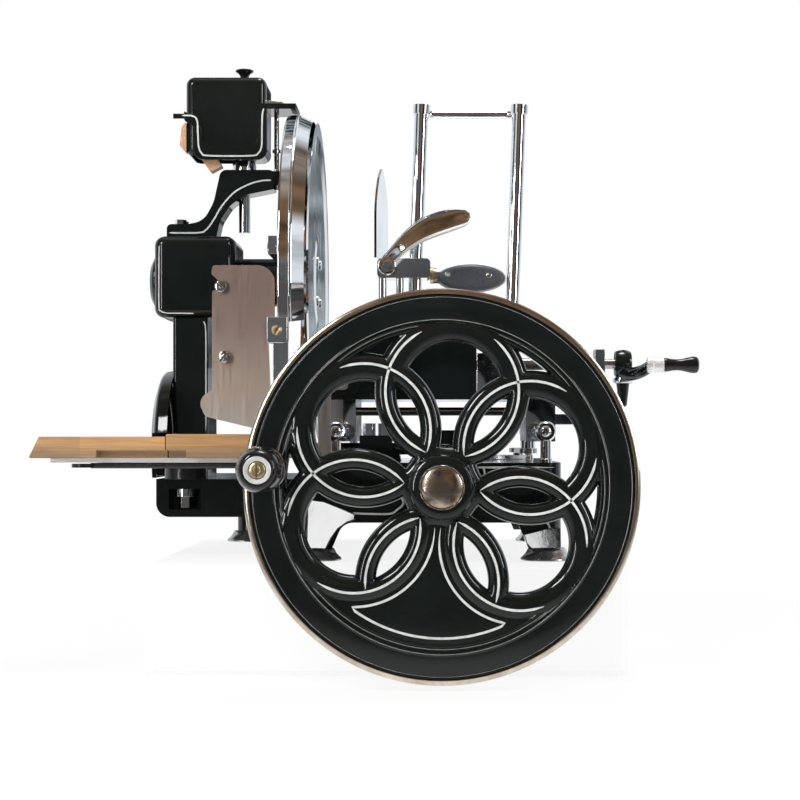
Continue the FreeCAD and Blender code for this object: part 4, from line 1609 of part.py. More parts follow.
def make_feed_screw():
    """Screw, cranked arm with its counterweight tail, ferrule and the grip that spins on it."""
    radius, neck = size("screw_radius"), size("crank_neck_radius")
    left, step = size("screw_left"), size("bracket_left")
    end = size("crank_hub_right")
    node("feed_screw", turned("feed_screw", "X", ("0", "0", "screw_z"), [
        (0, left, 0), (radius, left, 0), (radius, step - size("seat_gap"), 0),
        (neck, step - size("seat_gap"), 0),
        (neck, end, 0), (0, end, 0)]))
    hub = ring("crank_hub", "X", "crank_hub_radius", "crank_neck_radius + running_gap",
               ("crank_hub_left", "0", "screw_z"), "crank_hub_right - crank_hub_left")
    drop = size("crank_grip_z") - size("screw_z")
    y = size("crank_arm_y")
    reach = Vector(0, y, drop).Length
    hub_left, hub_right, hub_radius = size("crank_hub_left") + 1.5, end - 1.5, size("crank_hub_radius")
    tip = size("ferrule_left")
    turn = FreeCAD.Rotation(Vector(1, 0, 0), math.degrees(math.atan2(drop, y)))
    shift = turn.multVec(Vector(0, 0, -size("crank_arm_width") / 2))
    arm = slab("crank_arm", "XY", [
        (hub_left, hub_radius - 4, 0), (hub_right, hub_radius - 4, 0), (hub_right, hub_radius, 4),
        (tip - 3, reach - 14, 8), (tip, reach - 7, 0), (tip, reach + 7, 5), (tip - 8, reach + 7, 5),
        (tip - 9, reach - 10, 8), (hub_left, hub_radius + 6, 8)],
        "crank_arm_width", ("0", f"{shift.y}", f"screw_z + {shift.z}"), turn)
    tail_end = hub_radius + size("crank_tail_length")
    tail = slab("crank_tail", "YZ", [(-7, -8, 0), (7, -8, 0), (3.5, -tail_end, 3), (-3.5, -tail_end, 3)],
                "crank_tail_width", ("(crank_hub_left + crank_hub_right - crank_tail_width) / 2 - overcut",
                                     "0", "screw_z"))
    tail_cut = rod("crank_tail_cut", "X", "crank_neck_radius + running_gap",
                   ("crank_hub_left - overcut", "0", "screw_z"), "ferrule_left - crank_hub_left")
    rim, pin = size("ferrule_radius"), size("grip_pin_radius")
    grip_start = size("grip_left") - tip - size("seat_gap")
    pin_end = size("grip_right") - tip - 3
    ferrule = turned("crank_ferrule", "X", ("ferrule_left", "crank_arm_y", "crank_grip_z"), [
        (0, -1, 0), (rim + 0.8, -1, 0), (rim + 0.8, 3, 1), (rim, 5, 1), (rim - 0.6, grip_start, 0),
        (pin, grip_start, 0), (pin, pin_end, 0), (0, pin_end, 0)])
    crank = cut("feed_crank_body", fuse("feed_crank_whole", hub, arm, tail), tail_cut)
    node("feed_crank", group("feed_crank", crank, ferrule))
    bore = size("grip_pin_radius") + size("running_gap")
    full, waist = size("grip_radius"), size("grip_waist")
    long = size("grip_right") - size("grip_left")
    node("feed_grip", turned("feed_grip", "X", ("grip_left", "crank_arm_y", "crank_grip_z"), [
        (bore, 0, 0), (waist + 1, 0, 0), (waist + 1, 5, 6), (waist, long * 0.4, 20), (full, long - 7, 8),
        (full, long - 2, 3), (full - 4, long, 2), (0, long, 0), (0, long - 2, 0), (bore, long - 2, 0)]))


def make_frame_screws():
    """Hexagon heads and nuts that hold the fixed castings together."""
    swan_x = "(column_left + swan_half_depth / 4)"
    ledge_y = "-(pedestal_half_depth + ledge_depth / 2)"
    nut_x = "(pedestal_left + pedestal_right) / 2"
    arm_x = "(arm_left + base_left) / 2"
    heads = [hexagon(name, "Z", radius, at, height) for name, radius, at, height in (
        ("screw_swan0", "screw_head_radius", (swan_x, "-swan_half_depth / 2",
                                              "housing_top + swan_foot_height"),
         "screw_head_height"),
        ("screw_swan1", "screw_head_radius", (swan_x, "swan_half_depth / 2",
                                              "housing_top + swan_foot_height"),
         "screw_head_height"),
        ("nut_pedestal0", "nut_radius", (f"{nut_x} - nut_spread", ledge_y, "base_top + ledge_height"),
         "nut_height"),
        ("nut_pedestal1", "nut_radius", (f"{nut_x} + nut_spread", ledge_y, "base_top + ledge_height"),
         "nut_height"),
        ("screw_arm0", "screw_head_radius", (arm_x, "foot_back_y - arm_screw_spread", "arm_top"),
         "screw_head_height"),
        ("screw_arm1", "screw_head_radius", (arm_x, "foot_back_y - foot_radius", "arm_top"),
         "screw_head_height"))]
    bar_z = "blade_axis_z + ring_arm_rise + ring_arm_height / 2"
    for number, y in enumerate(("-2", "-1", "1", "2")):
        heads.append(rod(f"screw_bar{number}", "X", "bar_screw_radius",
                         ("ring_left - ring_arm_thickness - bar_screw_height", f"{y} * bar_screw_pitch",
                          bar_z),
                         "bar_screw_height"))
    node("frame_screws", group("frame_screws", *heads))


make_feet()
make_base()
make_bearings()
make_guides()
make_flywheel()
make_knob()
make_gears()
make_crank_drive()
make_chain()
make_column()
make_blade()
make_guard()
make_swan_neck()
make_sharpener()
make_deflector()
make_board()
make_carriage()
make_feed_slide()
make_posts()
make_clamp()
make_feed_screw()
make_frame_screws()

document.recompute()
broken = [thing.Label for thing in document.Objects if "Invalid" in thing.State or "Error" in thing.State]
if broken:
    raise RuntimeError(f"objects failed to recompute: {broken}")
for piece in NODES:
    if piece.Shape.isNull() or not piece.Shape.isValid():
        raise RuntimeError(f"{piece.Label} has no valid shape")

os.makedirs("parts", exist_ok=True)
for piece in NODES:
    piece.Shape.exportStep(f"parts/{piece.Label}.step")
print(len(NODES), "nodes,", sum(len(piece.Shape.Solids) for piece in NODES), "solids")
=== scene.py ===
# %% [markdown]
# # A hand crank meat slicer, dressed piece by piece
# The slicer is a heavy cast machine: a flywheel in front turns a round blade behind it, and a table on
# rods carries the meat past the blade. The solid model already gives every part its size and place. This
# lesson puts the finish on it. Some solids only get a better material. Others are replaced by a rounder
# or richer mesh in the same place. The camera, the lamps, the floor and the patterns of materials are
# measured in metres, and the pieces of the machine in millimetres, which are turned into metres.

# %% Load the solid model
import json
import math

import bmesh
import bpy
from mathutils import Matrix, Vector


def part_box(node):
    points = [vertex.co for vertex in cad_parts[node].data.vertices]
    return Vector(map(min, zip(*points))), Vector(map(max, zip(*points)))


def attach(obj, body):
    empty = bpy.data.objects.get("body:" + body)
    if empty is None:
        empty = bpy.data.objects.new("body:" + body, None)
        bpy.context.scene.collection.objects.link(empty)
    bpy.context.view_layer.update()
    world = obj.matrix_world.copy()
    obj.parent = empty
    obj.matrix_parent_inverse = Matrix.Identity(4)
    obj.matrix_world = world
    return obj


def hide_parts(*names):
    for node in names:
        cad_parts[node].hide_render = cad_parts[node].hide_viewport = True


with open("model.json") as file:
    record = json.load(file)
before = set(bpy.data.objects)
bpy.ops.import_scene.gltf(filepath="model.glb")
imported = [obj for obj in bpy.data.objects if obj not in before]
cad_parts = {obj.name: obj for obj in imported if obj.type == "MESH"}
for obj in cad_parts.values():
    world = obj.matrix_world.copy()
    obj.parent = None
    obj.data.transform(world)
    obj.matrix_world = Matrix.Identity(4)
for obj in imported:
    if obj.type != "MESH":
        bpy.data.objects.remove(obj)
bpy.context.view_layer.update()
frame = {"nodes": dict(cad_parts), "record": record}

MM = 0.001
nodes = frame["nodes"]

# %% [markdown]
# ## Camera, floor and light
# The machine is seen straight from the front, with the eye a little above its feet. The flywheel hangs
# below the feet, so the machine stands on a low plinth and the wheel hangs free in front of it. A polished
# machine shows its surroundings more than its own colour. The room is therefore white behind the machine
# and dim in front of it, with two tall white panels left and right of the eye. A colour ramp over the
# compass bearing of each ray draws these walls. One big lamp would be simpler, but black enamel would then
# turn grey all over, and chrome would have nothing dark to show.

# %% Camera
PICTURE = 800
EYE = Vector((0.0, -1.585, 0.0965))
SENSOR = 36.0
FOCAL_PIXELS = 1885.0
SHIFT_PIXELS = (-42, 36)
CLIP_END = 50


def placed(name, data):
    """A new object in the scene, at the origin."""
    thing = bpy.data.objects.new(name, data)
    bpy.context.scene.collection.objects.link(thing)
    return thing


camera_data = bpy.data.cameras.new("camera")
camera = placed("camera", camera_data)
bpy.context.scene.camera = camera
camera.location = EYE
camera.rotation_euler = (math.radians(90), 0, 0)
camera_data.sensor_width = SENSOR
camera_data.lens = FOCAL_PIXELS * SENSOR / PICTURE
camera_data.shift_x = SHIFT_PIXELS[0] / PICTURE
camera_data.shift_y = SHIFT_PIXELS[1] / PICTURE
camera_data.clip_end = CLIP_END
print("camera lens", round(camera_data.lens, 2), "mm")

# %% Short ways to add nodes
def wire(tree, kind, inputs=None, **settings):
    """Add one node to a tree, with its settings and its inputs; a socket is linked, a value is set."""
    made = tree.nodes.new(kind)
    for key, value in settings.items():
        setattr(made, key, value)
    for key, value in (inputs or {}).items():
        if isinstance(value, bpy.types.NodeSocket):
            tree.links.new(value, made.inputs[key])
        else:
            made.inputs[key].default_value = value
    return made


def maths(tree, operation, *values):
    """One sum on numbers."""
    return wire(tree, "ShaderNodeMath", dict(enumerate(values)), operation=operation).outputs[0]


def vectors(tree, operation, *values):
    """One sum on vectors."""
    return wire(tree, "ShaderNodeVectorMath", dict(enumerate(values)), operation=operation).outputs[0]


def remap(tree, value, low=0.0, high=1.0, to_low=0.0, to_high=1.0):
    """A value carried from one range to another."""
    return wire(tree, "ShaderNodeMapRange", {"Value": value, "From Min": low, "From Max": high,
                                             "To Min": to_low, "To Max": to_high}).outputs[0]


def mixed(tree, factor, first, second):
    """Two colours mixed; each is a socket or a plain colour."""
    first, second = [color if isinstance(color, bpy.types.NodeSocket) else (*color, 1)
                     for color in (first, second)]
    return wire(tree, "ShaderNodeMix", {"Factor": factor, "A": first, "B": second},
                data_type="RGBA").outputs["Result"]


def noise(tree, where, scale, detail, roughness=0.5, distortion=0.0):
    """Soft noise at a place."""
    return wire(tree, "ShaderNodeTexNoise", {"Vector": where, "Scale": scale, "Detail": detail,
                                             "Roughness": roughness, "Distortion": distortion}).outputs[0]


def ramp(tree, value, stops):
    """A colour ramp with its stops given as (position, colour)."""
    made = wire(tree, "ShaderNodeValToRGB", {"Fac": value})
    marks = made.color_ramp.elements
    for mark, (position, color) in zip(marks, (stops[0], stops[-1])):
        mark.position, mark.color = position, (*color, 1)
    for position, color in stops[1:-1]:
        marks.new(position).color = (*color, 1)
    return made.outputs["Color"]


print("node helpers ready")

# %% Light paths and outputs
def seen_directly(tree):
    """The light path, and a mask for rays that show the backdrop: camera, mirror and glass rays."""
    path = wire(tree, "ShaderNodeLightPath")
    first = maths(tree, "MAXIMUM", path.outputs["Is Camera Ray"], path.outputs["Is Glossy Ray"])
    return path, maths(tree, "MAXIMUM", first, path.outputs["Is Transmission Ray"])


def surface_of(material, shader):
    """Send a shader to a material's output."""
    tree = material.node_tree
    tree.links.new(shader.outputs[0], wire(tree, "ShaderNodeOutputMaterial").inputs["Surface"])


def empty_material(name):
    """A material with an empty node tree."""
    material = bpy.data.materials.new(name)
    material.use_nodes = True
    material.node_tree.nodes.clear()
    return material


print("material helpers ready")

# %% The room that polished metal mirrors
PURE_WHITE = (1, 1, 1)
WHITE, GREY, DARK = (0.93, 0.97, 1.0), (0.28, 0.3, 0.31), (0.02, 0.022, 0.023)
BROWN, FRONT, WINDOW = (0.28, 0.165, 0.085), (0.14, 0.145, 0.145), (0.75, 0.85, 0.92)
ROOM_LIGHT = (0.62, 0.62, 0.63)
WALLS = ((-180, WHITE), (-94, WHITE), (-86, GREY), (-78, DARK), (-64, DARK), (-58, WHITE), (-36, WHITE),
         (-29, DARK), (-19, BROWN), (-10, FRONT), (9, FRONT), (17, BROWN), (25, DARK), (38, DARK),
         (43, WHITE), (54, WHITE), (61, DARK), (78, DARK), (87, GREY), (96, WHITE), (180, WHITE))
CEILING = ((0.0, GREY), (0.16, (0.36, 0.24, 0.14)), (0.3, BROWN), (0.55, (0.20, 0.12, 0.065)),
           (0.8, (0.24, 0.15, 0.09)), (0.93, (0.5, 0.44, 0.38)), (1.0, WHITE))
BEHIND = ((0.0, WHITE), (0.02, WHITE), (0.045, DARK), (0.16, DARK), (0.24, WHITE), (1.0, WHITE))

bpy.context.scene.view_settings.view_transform = "Standard"
world = bpy.data.worlds.new("studio")
bpy.context.scene.world = world
world.use_nodes = True
tree = world.node_tree
tree.nodes.clear()
ray = wire(tree, "ShaderNodeTexCoord").outputs["Generated"]
ray_x, ray_y, ray_z = wire(tree, "ShaderNodeSeparateXYZ", {0: ray}).outputs
bearing = maths(tree, "ARCTAN2", ray_x, maths(tree, "MULTIPLY", ray_y, -1.0))
around = remap(tree, bearing, -math.pi, math.pi)
walls = ramp(tree, around, [((angle + 180) / 360, color) for angle, color in WALLS])
ceiling = ramp(tree, ray_z, CEILING)
# The ceiling starts lower towards the eye than at the sides, and fades in over a short height.
eaves = remap(tree, maths(tree, "ABSOLUTE", bearing), 0.3, 0.6, 0.14, 0.5)
overhead = remap(tree, ray_z, eaves, maths(tree, "ADD", eaves, 0.12))
room = mixed(tree, overhead, walls, ceiling)
clutter = remap(tree, noise(tree, ray, 5.0, 4.0, 0.6), 0.36, 0.6, 0.35)
room = vectors(tree, "MULTIPLY", room, clutter)
windows = remap(tree, noise(tree, ray, 38.0, 2.0), 0.5, 0.58, 0.0, 0.55)
back_wall = mixed(tree, windows, ramp(tree, maths(tree, "ABSOLUTE", ray_x), BEHIND), WINDOW)
reflected = mixed(tree, remap(tree, ray_y, 0.3, 0.5), room, back_wall)
path, direct = seen_directly(tree)
mirrored = mixed(tree, path.outputs["Is Camera Ray"], reflected, PURE_WHITE)
background = wire(tree, "ShaderNodeBackground", {
    "Color": mixed(tree, direct, ROOM_LIGHT, mirrored), "Strength": 1.0})
tree.links.new(background.outputs[0], wire(tree, "ShaderNodeOutputWorld").inputs["Surface"])
print("room of", len(tree.nodes), "nodes")

# %% Lamps
MIDDLE = (-0.05, 0.0, 0.15)


def softbox(name, place, width, height, watts):
    """A rectangular lamp at a place, turned to face the machine."""
    lamp = bpy.data.lights.new(name, "AREA")
    lamp.shape = "RECTANGLE"
    lamp.size, lamp.size_y, lamp.energy = width, height, watts
    thing = placed(name, lamp)
    thing.location = place
    thing.rotation_euler = (Vector(MIDDLE) - Vector(place)).to_track_quat("-Z", "Y").to_euler()
    return thing


softbox("key_light", (-1.0, -1.15, 1.05), 0.26, 0.55, 9.0)
softbox("fill_light", (1.15, -0.75, 0.55), 0.12, 0.8, 5.0)
softbox("top_light", (0.1, 0.15, 1.7), 0.5, 0.5, 9.0)
softbox("strip_left", (-0.95, -1.25, 0.15), 0.07, 0.9, 4.5)
front_light = softbox("front_light", (-0.4, -2.1, 1.7), 1.2, 0.8, 16.0)
front_light.visible_glossy = False
print("lamps", [lamp.name for lamp in bpy.data.lights])

# %% Floor and plinth
DIM_FLOOR = (0.10, 0.09, 0.085)
WHEEL_CLEARANCE = 0.004
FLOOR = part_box("rim_band")[0].z - WHEEL_CLEARANCE
PLINTH_TOP = -0.0003


def backdrop_material():
    """Pale floor: it keeps the shadows for light, and looks nearly white to the eye."""
    material = empty_material("pale_floor")
    tree = material.node_tree
    grain = wire(tree, "ShaderNodeTexNoise", {"Scale": 40.0, "Detail": 4.0})
    matt = wire(tree, "ShaderNodeBsdfDiffuse", {"Color": remap(tree, grain.outputs[0], 0, 1, 0.86, 0.9)})
    spot = wire(tree, "ShaderNodeTexCoord").outputs["Object"]
    reach = wire(tree, "ShaderNodeVectorMath", {0: spot}, operation="LENGTH").outputs["Value"]
    share = remap(tree, reach, 0.3, 0.8, 0.86)
    path, direct = seen_directly(tree)
    in_front = remap(tree, wire(tree, "ShaderNodeSeparateXYZ", {0: spot}).outputs["Y"], -0.2, -0.7)
    mirror = maths(tree, "MULTIPLY", in_front, path.outputs["Is Glossy Ray"])
    glow = wire(tree, "ShaderNodeEmission", {
        "Color": mixed(tree, mirror, PURE_WHITE, DIM_FLOOR), "Strength": 1.0})
    seen = maths(tree, "MULTIPLY", direct, share)
    surface_of(material, wire(tree, "ShaderNodeMixShader", {0: seen, 1: matt.outputs[0], 2: glow.outputs[0]}))
    return material


pale = backdrop_material()


def staged_box(name, low, high, bevel):
    """A block of the set, with softened edges."""
    mesh = bpy.data.meshes.new(name)
    shape = bmesh.new()
    bmesh.ops.create_cube(shape, size=1.0)
    for vertex in shape.verts:
        for axis in range(3):
            vertex.co[axis] = high[axis] if vertex.co[axis] > 0 else low[axis]
    bmesh.ops.bevel(shape, geom=shape.edges[:], offset=bevel, segments=3, affect="EDGES")
    shape.to_mesh(mesh)
    shape.free()
    mesh.materials.append(pale)
    thing = placed(name, mesh)
    return thing


staged_box("floor", (-4, -4, FLOOR - 0.02), (4, 4, FLOOR), 0.005)
staged_box("plinth", (-0.225, -0.165, FLOOR), (0.14, 0.2, PLINTH_TOP), 0.004)
print("floor at", round(FLOOR, 4))

# %% [markdown]
# ## Shared surface effects
# Real metal and paint are never even. Enamel has a faint ripple from spraying, polished metal has
# fingerprints and fine scratches, and every edge is a little round. These effects return on many
# materials, so each one is a node group with named inputs, made once and tuned per material. The shader
# itself stays in each material. A picture of scratches could be used too, but noise has no seams and
# stays sharp at any distance.

# %% Node groups
FLOAT, VECTOR = "NodeSocketFloat", "NodeSocketVector"


def shader_group(name, inputs, outputs):
    """An empty shader node group with named sockets; returns the tree, its input node and output node."""
    tree = bpy.data.node_groups.new(name, "ShaderNodeTree")
    for label, kind, value in inputs:
        socket = tree.interface.new_socket(name=label, in_out="INPUT", socket_type=kind)
        socket.default_value = value
    for label, kind in outputs:
        tree.interface.new_socket(name=label, in_out="OUTPUT", socket_type=kind)
    return tree, wire(tree, "NodeGroupInput"), wire(tree, "NodeGroupOutput")


def raised(tree, height, strength, distance):
    """A normal that follows a height."""
    return wire(tree, "ShaderNodeBump", {
        "Height": height, "Strength": strength, "Distance": distance}).outputs[0]


# Smudges: broad, soft patches that dull a polish.
smudges, enter, leave = shader_group(
    "smudges", [("Scale", FLOAT, 60.0), ("Low", FLOAT, 0.0), ("High", FLOAT, 1.0)], [("Value", FLOAT)])
place = wire(smudges, "ShaderNodeTexCoord").outputs["Object"]
broad = noise(smudges, place, enter.outputs["Scale"], 6.0, 0.62)
smudges.links.new(remap(smudges, broad, 0.35, 0.7, enter.outputs["Low"], enter.outputs["High"]),
                  leave.inputs["Value"])

# Ripple: the orange peel of sprayed enamel, or the pitted skin of a casting.
ripple, enter, leave = shader_group(
    "ripple", [("Scale", FLOAT, 300.0), ("Depth", FLOAT, 0.1)], [("Normal", VECTOR)])
place = wire(ripple, "ShaderNodeTexCoord").outputs["Object"]
skin = noise(ripple, place, enter.outputs["Scale"], 2.0)
ripple.links.new(raised(ripple, skin, enter.outputs["Depth"], 0.0004), leave.inputs["Normal"])

# Brushing: long fine scratches along one axis, for ground and brushed steel.
brushing, enter, leave = shader_group(
    "brushing", [("Stretch", VECTOR, (30.0, 900.0, 30.0)), ("Low", FLOAT, 0.0), ("High", FLOAT, 1.0),
                 ("Depth", FLOAT, 0.1)], [("Value", FLOAT), ("Normal", VECTOR)])
place = wire(brushing, "ShaderNodeTexCoord").outputs["Object"]
scratches = noise(brushing, vectors(brushing, "MULTIPLY", place, enter.outputs["Stretch"]), 1.0, 5.0)
brushing.links.new(remap(brushing, scratches, 0.3, 0.7, enter.outputs["Low"], enter.outputs["High"]),
                   leave.inputs["Value"])
brushing.links.new(raised(brushing, scratches, enter.outputs["Depth"], 0.0003), leave.inputs["Normal"])
print("effects:", [group.name for group in bpy.data.node_groups])

# %% [markdown]
# ## The finishes
# Black enamel carries the whole look: nearly black and very smooth, so that only the lamps and the pale
# floor show in it. Chrome is a mirror with a trace of blue, nickel is warmer. Each finish keeps its plain
# numbers on the shader and takes its unevenness from the groups above.

# %% How a finish is made
def painted(name, color, roughness, metallic=0.0):
    """A material with a Principled shader; returns the material, its tree and the shader."""
    material = empty_material(name)
    tree = material.node_tree
    shader = wire(tree, "ShaderNodeBsdfPrincipled", {
        "Base Color": (*color, 1), "Roughness": roughness, "Metallic": metallic})
    surface_of(material, shader)
    material.diffuse_color = (*color, 1)
    return material, tree, shader


def place_group(tree, group, **values):
    """One use of a shared effect, with its own values."""
    node = wire(tree, "ShaderNodeGroup", node_tree=group)
    for label, value in values.items():
        node.inputs[label.capitalize()].default_value = value
    return node


def two_tone(tree, shader, first, second, scale, low=0.4, high=0.65):
    """Colour that wanders between two tones; returns the mask."""
    place = wire(tree, "ShaderNodeTexCoord").outputs["Object"]
    mask = remap(tree, noise(tree, place, scale, 5.0, 0.6), low, high)
    tree.links.new(mixed(tree, mask, first, second), shader.inputs["Base Color"])
    return mask


def brushed(tree, shader, low, high):
    """Fine scratches along X, with the roughness between two values."""
    scratched = place_group(tree, brushing, stretch=(900.0, 30.0, 30.0), low=low, high=high, depth=0.05)
    tree.links.new(scratched.outputs["Value"], shader.inputs["Roughness"])
    tree.links.new(scratched.outputs["Normal"], shader.inputs["Normal"])


def finish(name, first, second, metallic, rough, grain=60.0, patch=25.0, depth=0.0, skin=500.0):
    """A hard surface: two tones, smudged roughness between two values, and a rippled skin."""
    material, tree, shader = painted(name, first, rough[0], metallic)
    two_tone(tree, shader, first, second, patch)
    dull = place_group(tree, smudges, scale=grain, low=rough[0], high=rough[1])
    tree.links.new(dull.outputs[0], shader.inputs["Roughness"])
    if depth:
        surface = place_group(tree, ripple, scale=skin, depth=depth)
        tree.links.new(surface.outputs[0], shader.inputs["Normal"])
    return material


print("finish helpers ready")

# %% Metals, enamel and hard plastics
enamel = finish("black_enamel", (0.0035, 0.0055, 0.005), (0.006, 0.0085, 0.008), 0.0, (0.05, 0.11),
                grain=45.0, depth=0.05, skin=260.0)
foot_metal = finish("foot_metal", (0.30, 0.31, 0.305), (0.60, 0.60, 0.59), 0.85, (0.16, 0.34), patch=90.0,
                    depth=0.15, skin=500.0)
chrome = finish("chrome", (0.80, 0.81, 0.83), (0.72, 0.74, 0.77), 1.0, (0.03, 0.10), grain=80.0)
blade_steel = finish("blade_steel", (0.66, 0.68, 0.71), (0.56, 0.58, 0.61), 1.0, (0.05, 0.12), grain=35.0)
nickel = finish("warm_nickel", (0.82, 0.74, 0.64), (0.60, 0.52, 0.43), 1.0, (0.12, 0.26), grain=120.0,
                patch=60.0, depth=0.06)
machined = finish("machined_steel", (0.46, 0.46, 0.47), (0.36, 0.36, 0.36), 1.0, (0.18, 0.34), grain=150.0,
                  depth=0.12, skin=900.0)
black_steel = finish("black_steel", (0.010, 0.010, 0.011), (0.022, 0.021, 0.020), 0.0, (0.16, 0.32),
                     depth=0.10, skin=420.0)
bronze = finish("bronze", (0.56, 0.37, 0.15), (0.40, 0.26, 0.12), 1.0, (0.20, 0.36), depth=0.1)
brass = finish("brass", (0.66, 0.54, 0.32), (0.46, 0.37, 0.22), 1.0, (0.32, 0.48), grain=200.0, patch=120.0)
bakelite = finish("bakelite", (0.005, 0.005, 0.006), (0.012, 0.010, 0.010), 0.0, (0.08, 0.16), grain=90.0,
                  depth=0.03, skin=350.0)
grip_black = finish("grip_black", (0.045, 0.050, 0.056), (0.075, 0.080, 0.088), 0.0, (0.26, 0.40),
                    grain=220.0, depth=0.12, skin=1500.0)
abrasive = finish("abrasive", (0.45, 0.41, 0.36), (0.30, 0.28, 0.26), 0.0, (0.85, 0.95), patch=900.0,
                  depth=0.8, skin=2200.0)
stripe_paint = finish("pinstripe_paint", (0.60, 0.61, 0.58), (0.46, 0.47, 0.45), 0.0, (0.18, 0.32),
                      patch=160.0, depth=0.04)
ring_steel = finish("ring_steel", (0.72, 0.70, 0.66), (0.55, 0.52, 0.48), 1.0, (0.12, 0.26), grain=240.0,
                    patch=150.0)
bright_steel = finish("bright_steel", (0.90, 0.90, 0.89), (0.80, 0.80, 0.79), 0.7, (0.38, 0.55), grain=180.0,
                      patch=60.0)
print(len(bpy.data.materials), "materials so far")

# %% Satin stainless sheet, and the deflector sheet with a painted reflection
satin, tree, shader = painted("satin_stainless", (0.42, 0.39, 0.36), 0.3, metallic=1.0)
two_tone(tree, shader, (0.44, 0.40, 0.365), (0.50, 0.47, 0.44), 9.0)
brushed(tree, shader, 0.30, 0.44)

# Painted reflection: the deflector's colour changes with the height, standing in for the warm room it mirrors
# from top to bottom.
sheet, tree, shader = painted("deflector_sheet", (0.53, 0.41, 0.37), 0.34, metallic=1.0)
spot = wire(tree, "ShaderNodeTexCoord").outputs["Object"]
wander = remap(tree, noise(tree, spot, 12.0, 3.0), 0, 1, -0.02, 0.02)
upright = wire(tree, "ShaderNodeSeparateXYZ", {0: spot}).outputs["Z"]
share = remap(tree, maths(tree, "ADD", upright, wander), 0.10, 0.235)
painted_reflection = ramp(tree, share, [(0.0, (0.97, 0.95, 0.90)), (0.25, (0.84, 0.70, 0.59)),
                            (0.62, (0.54, 0.42, 0.38)), (1.0, (0.48, 0.37, 0.32))])
tree.links.new(painted_reflection, shader.inputs["Base Color"])
brushed(tree, shader, 0.32, 0.46)
print("sheets:", satin.name, sheet.name)

# %% [markdown]
# ## The oiled board
# The board is glued up from short blocks of hardwood, strip by strip. The grain runs along the board, and
# each block has its own tone. The lower edge is painted darker, as painted shade where the finger recess
# lies in shadow. A scan of real wood would give one fixed plank; here the blocks, rings and pores come
# from noise that is stretched along the board, so every block differs and the ends match the sides.

# %% Laminated wood
BLOCKS_PER_METRE, STAGGER, BLOCK_START = 15.4, 0.37, 0.272
# Painted shade: between these heights the wood turns towards a dark tone, darkest below.
UNSHADED_ABOVE, SHADED_BELOW = 0.0895, 0.083
PAINTED_SHADE = (0.16, 0.115, 0.08)
RING_STRETCH, PORE_STRETCH = (11.0, 210.0, 260.0), (60.0, 1500.0, 1500.0)


def laminated(name, light, dark, strips, seed):
    """Wood made of short glued blocks, strip by strip across Y, with grain along X."""
    material, tree, shader = painted(name, light, 0.4)
    spot = wire(tree, "ShaderNodeTexCoord").outputs["Object"]
    along, across, height = wire(tree, "ShaderNodeSeparateXYZ", {0: spot}).outputs
    strip = maths(tree, "FLOOR", maths(tree, "MULTIPLY", across, strips))
    shift = wire(tree, "ShaderNodeCombineXYZ", {"X": strip, "Y": strip}).outputs[0]
    moved = vectors(tree, "ADD", spot, shift)
    rings = noise(tree, vectors(tree, "MULTIPLY", moved, RING_STRETCH), 1.6, 6.0, 0.65, 0.6)
    offset = maths(tree, "MULTIPLY_ADD", strip, STAGGER, BLOCK_START)
    block = maths(tree, "FLOOR", maths(tree, "MULTIPLY_ADD", along, BLOCKS_PER_METRE, offset))
    tone = wire(tree, "ShaderNodeTexWhiteNoise", {"W": maths(tree, "ADD", block, seed)},
                noise_dimensions="1D").outputs[0]
    grain = remap(tree, rings, 0.3, 0.75, 0.0, 0.62)
    wood = mixed(tree, maths(tree, "ADD", grain, maths(tree, "MULTIPLY", tone, 0.6)), light, dark)
    # Painted shade: the wood is darkened towards its lower edge.
    shaded_wood = mixed(tree, remap(tree, height, UNSHADED_ABOVE, SHADED_BELOW, 0.0, 0.6), wood, PAINTED_SHADE)
    tree.links.new(shaded_wood, shader.inputs["Base Color"])
    pores = noise(tree, vectors(tree, "MULTIPLY", moved, PORE_STRETCH), 1.0, 3.0)
    tree.links.new(raised(tree, pores, 0.25, 0.0003), shader.inputs["Normal"])
    tree.links.new(remap(tree, pores, 0, 1, 0.32, 0.55), shader.inputs["Roughness"])
    return material


board_wood = laminated("board_wood", (0.62, 0.345, 0.125), (0.20, 0.105, 0.048), 60.0, 0.0)
leaf_wood = laminated("leaf_wood", (0.66, 0.37, 0.14), (0.18, 0.10, 0.048), 55.0, 3.0)
print("woods:", board_wood.name, leaf_wood.name)

# %% Felt
felt, tree, shader = painted("tan_felt", (0.52, 0.30, 0.18), 0.9)
two_tone(tree, shader, (0.56, 0.34, 0.20), (0.42, 0.24, 0.14), 320.0)
shader.inputs["Sheen Weight"].default_value = 0.3
fuzz = place_group(tree, ripple, scale=1800.0, depth=0.7)
tree.links.new(fuzz.outputs[0], shader.inputs["Normal"])
print("felt:", felt.name)

# %% [markdown]
# ## Finishes on the solids
# A solid whose shape is already right keeps its mesh and only gets its finish. The list follows the
# material slots of the record. Four solids then get a finish of their own, because they look different on
# the real machine from the others of their slot.

# %% Give each solid its finish
SLOT_FINISH = {
    "black_enamel": enamel, "foot_metal": foot_metal, "chrome": chrome, "blade_steel": blade_steel,
    "satin_stainless": satin, "polished_band": nickel, "machined_steel": machined,
    "black_steel": black_steel, "bronze": bronze, "bakelite": bakelite, "laminated_wood": board_wood,
    "abrasive": abrasive,
}


def coat_node(name, material):
    """Put one material on every slot of a solid."""
    mesh = nodes[name].data
    if not mesh.materials:
        mesh.materials.append(material)
    for index in range(len(mesh.materials)):
        mesh.materials[index] = material


for part in frame["record"]["subparts"]:
    coat_node(part["node"], SLOT_FINISH[part["material_slot"]])
for node, material in (("board_leaf", leaf_wood), ("deflector_plate", sheet), ("grip_scales", grip_black),
                       ("board_strips", bright_steel)):
    coat_node(node, material)

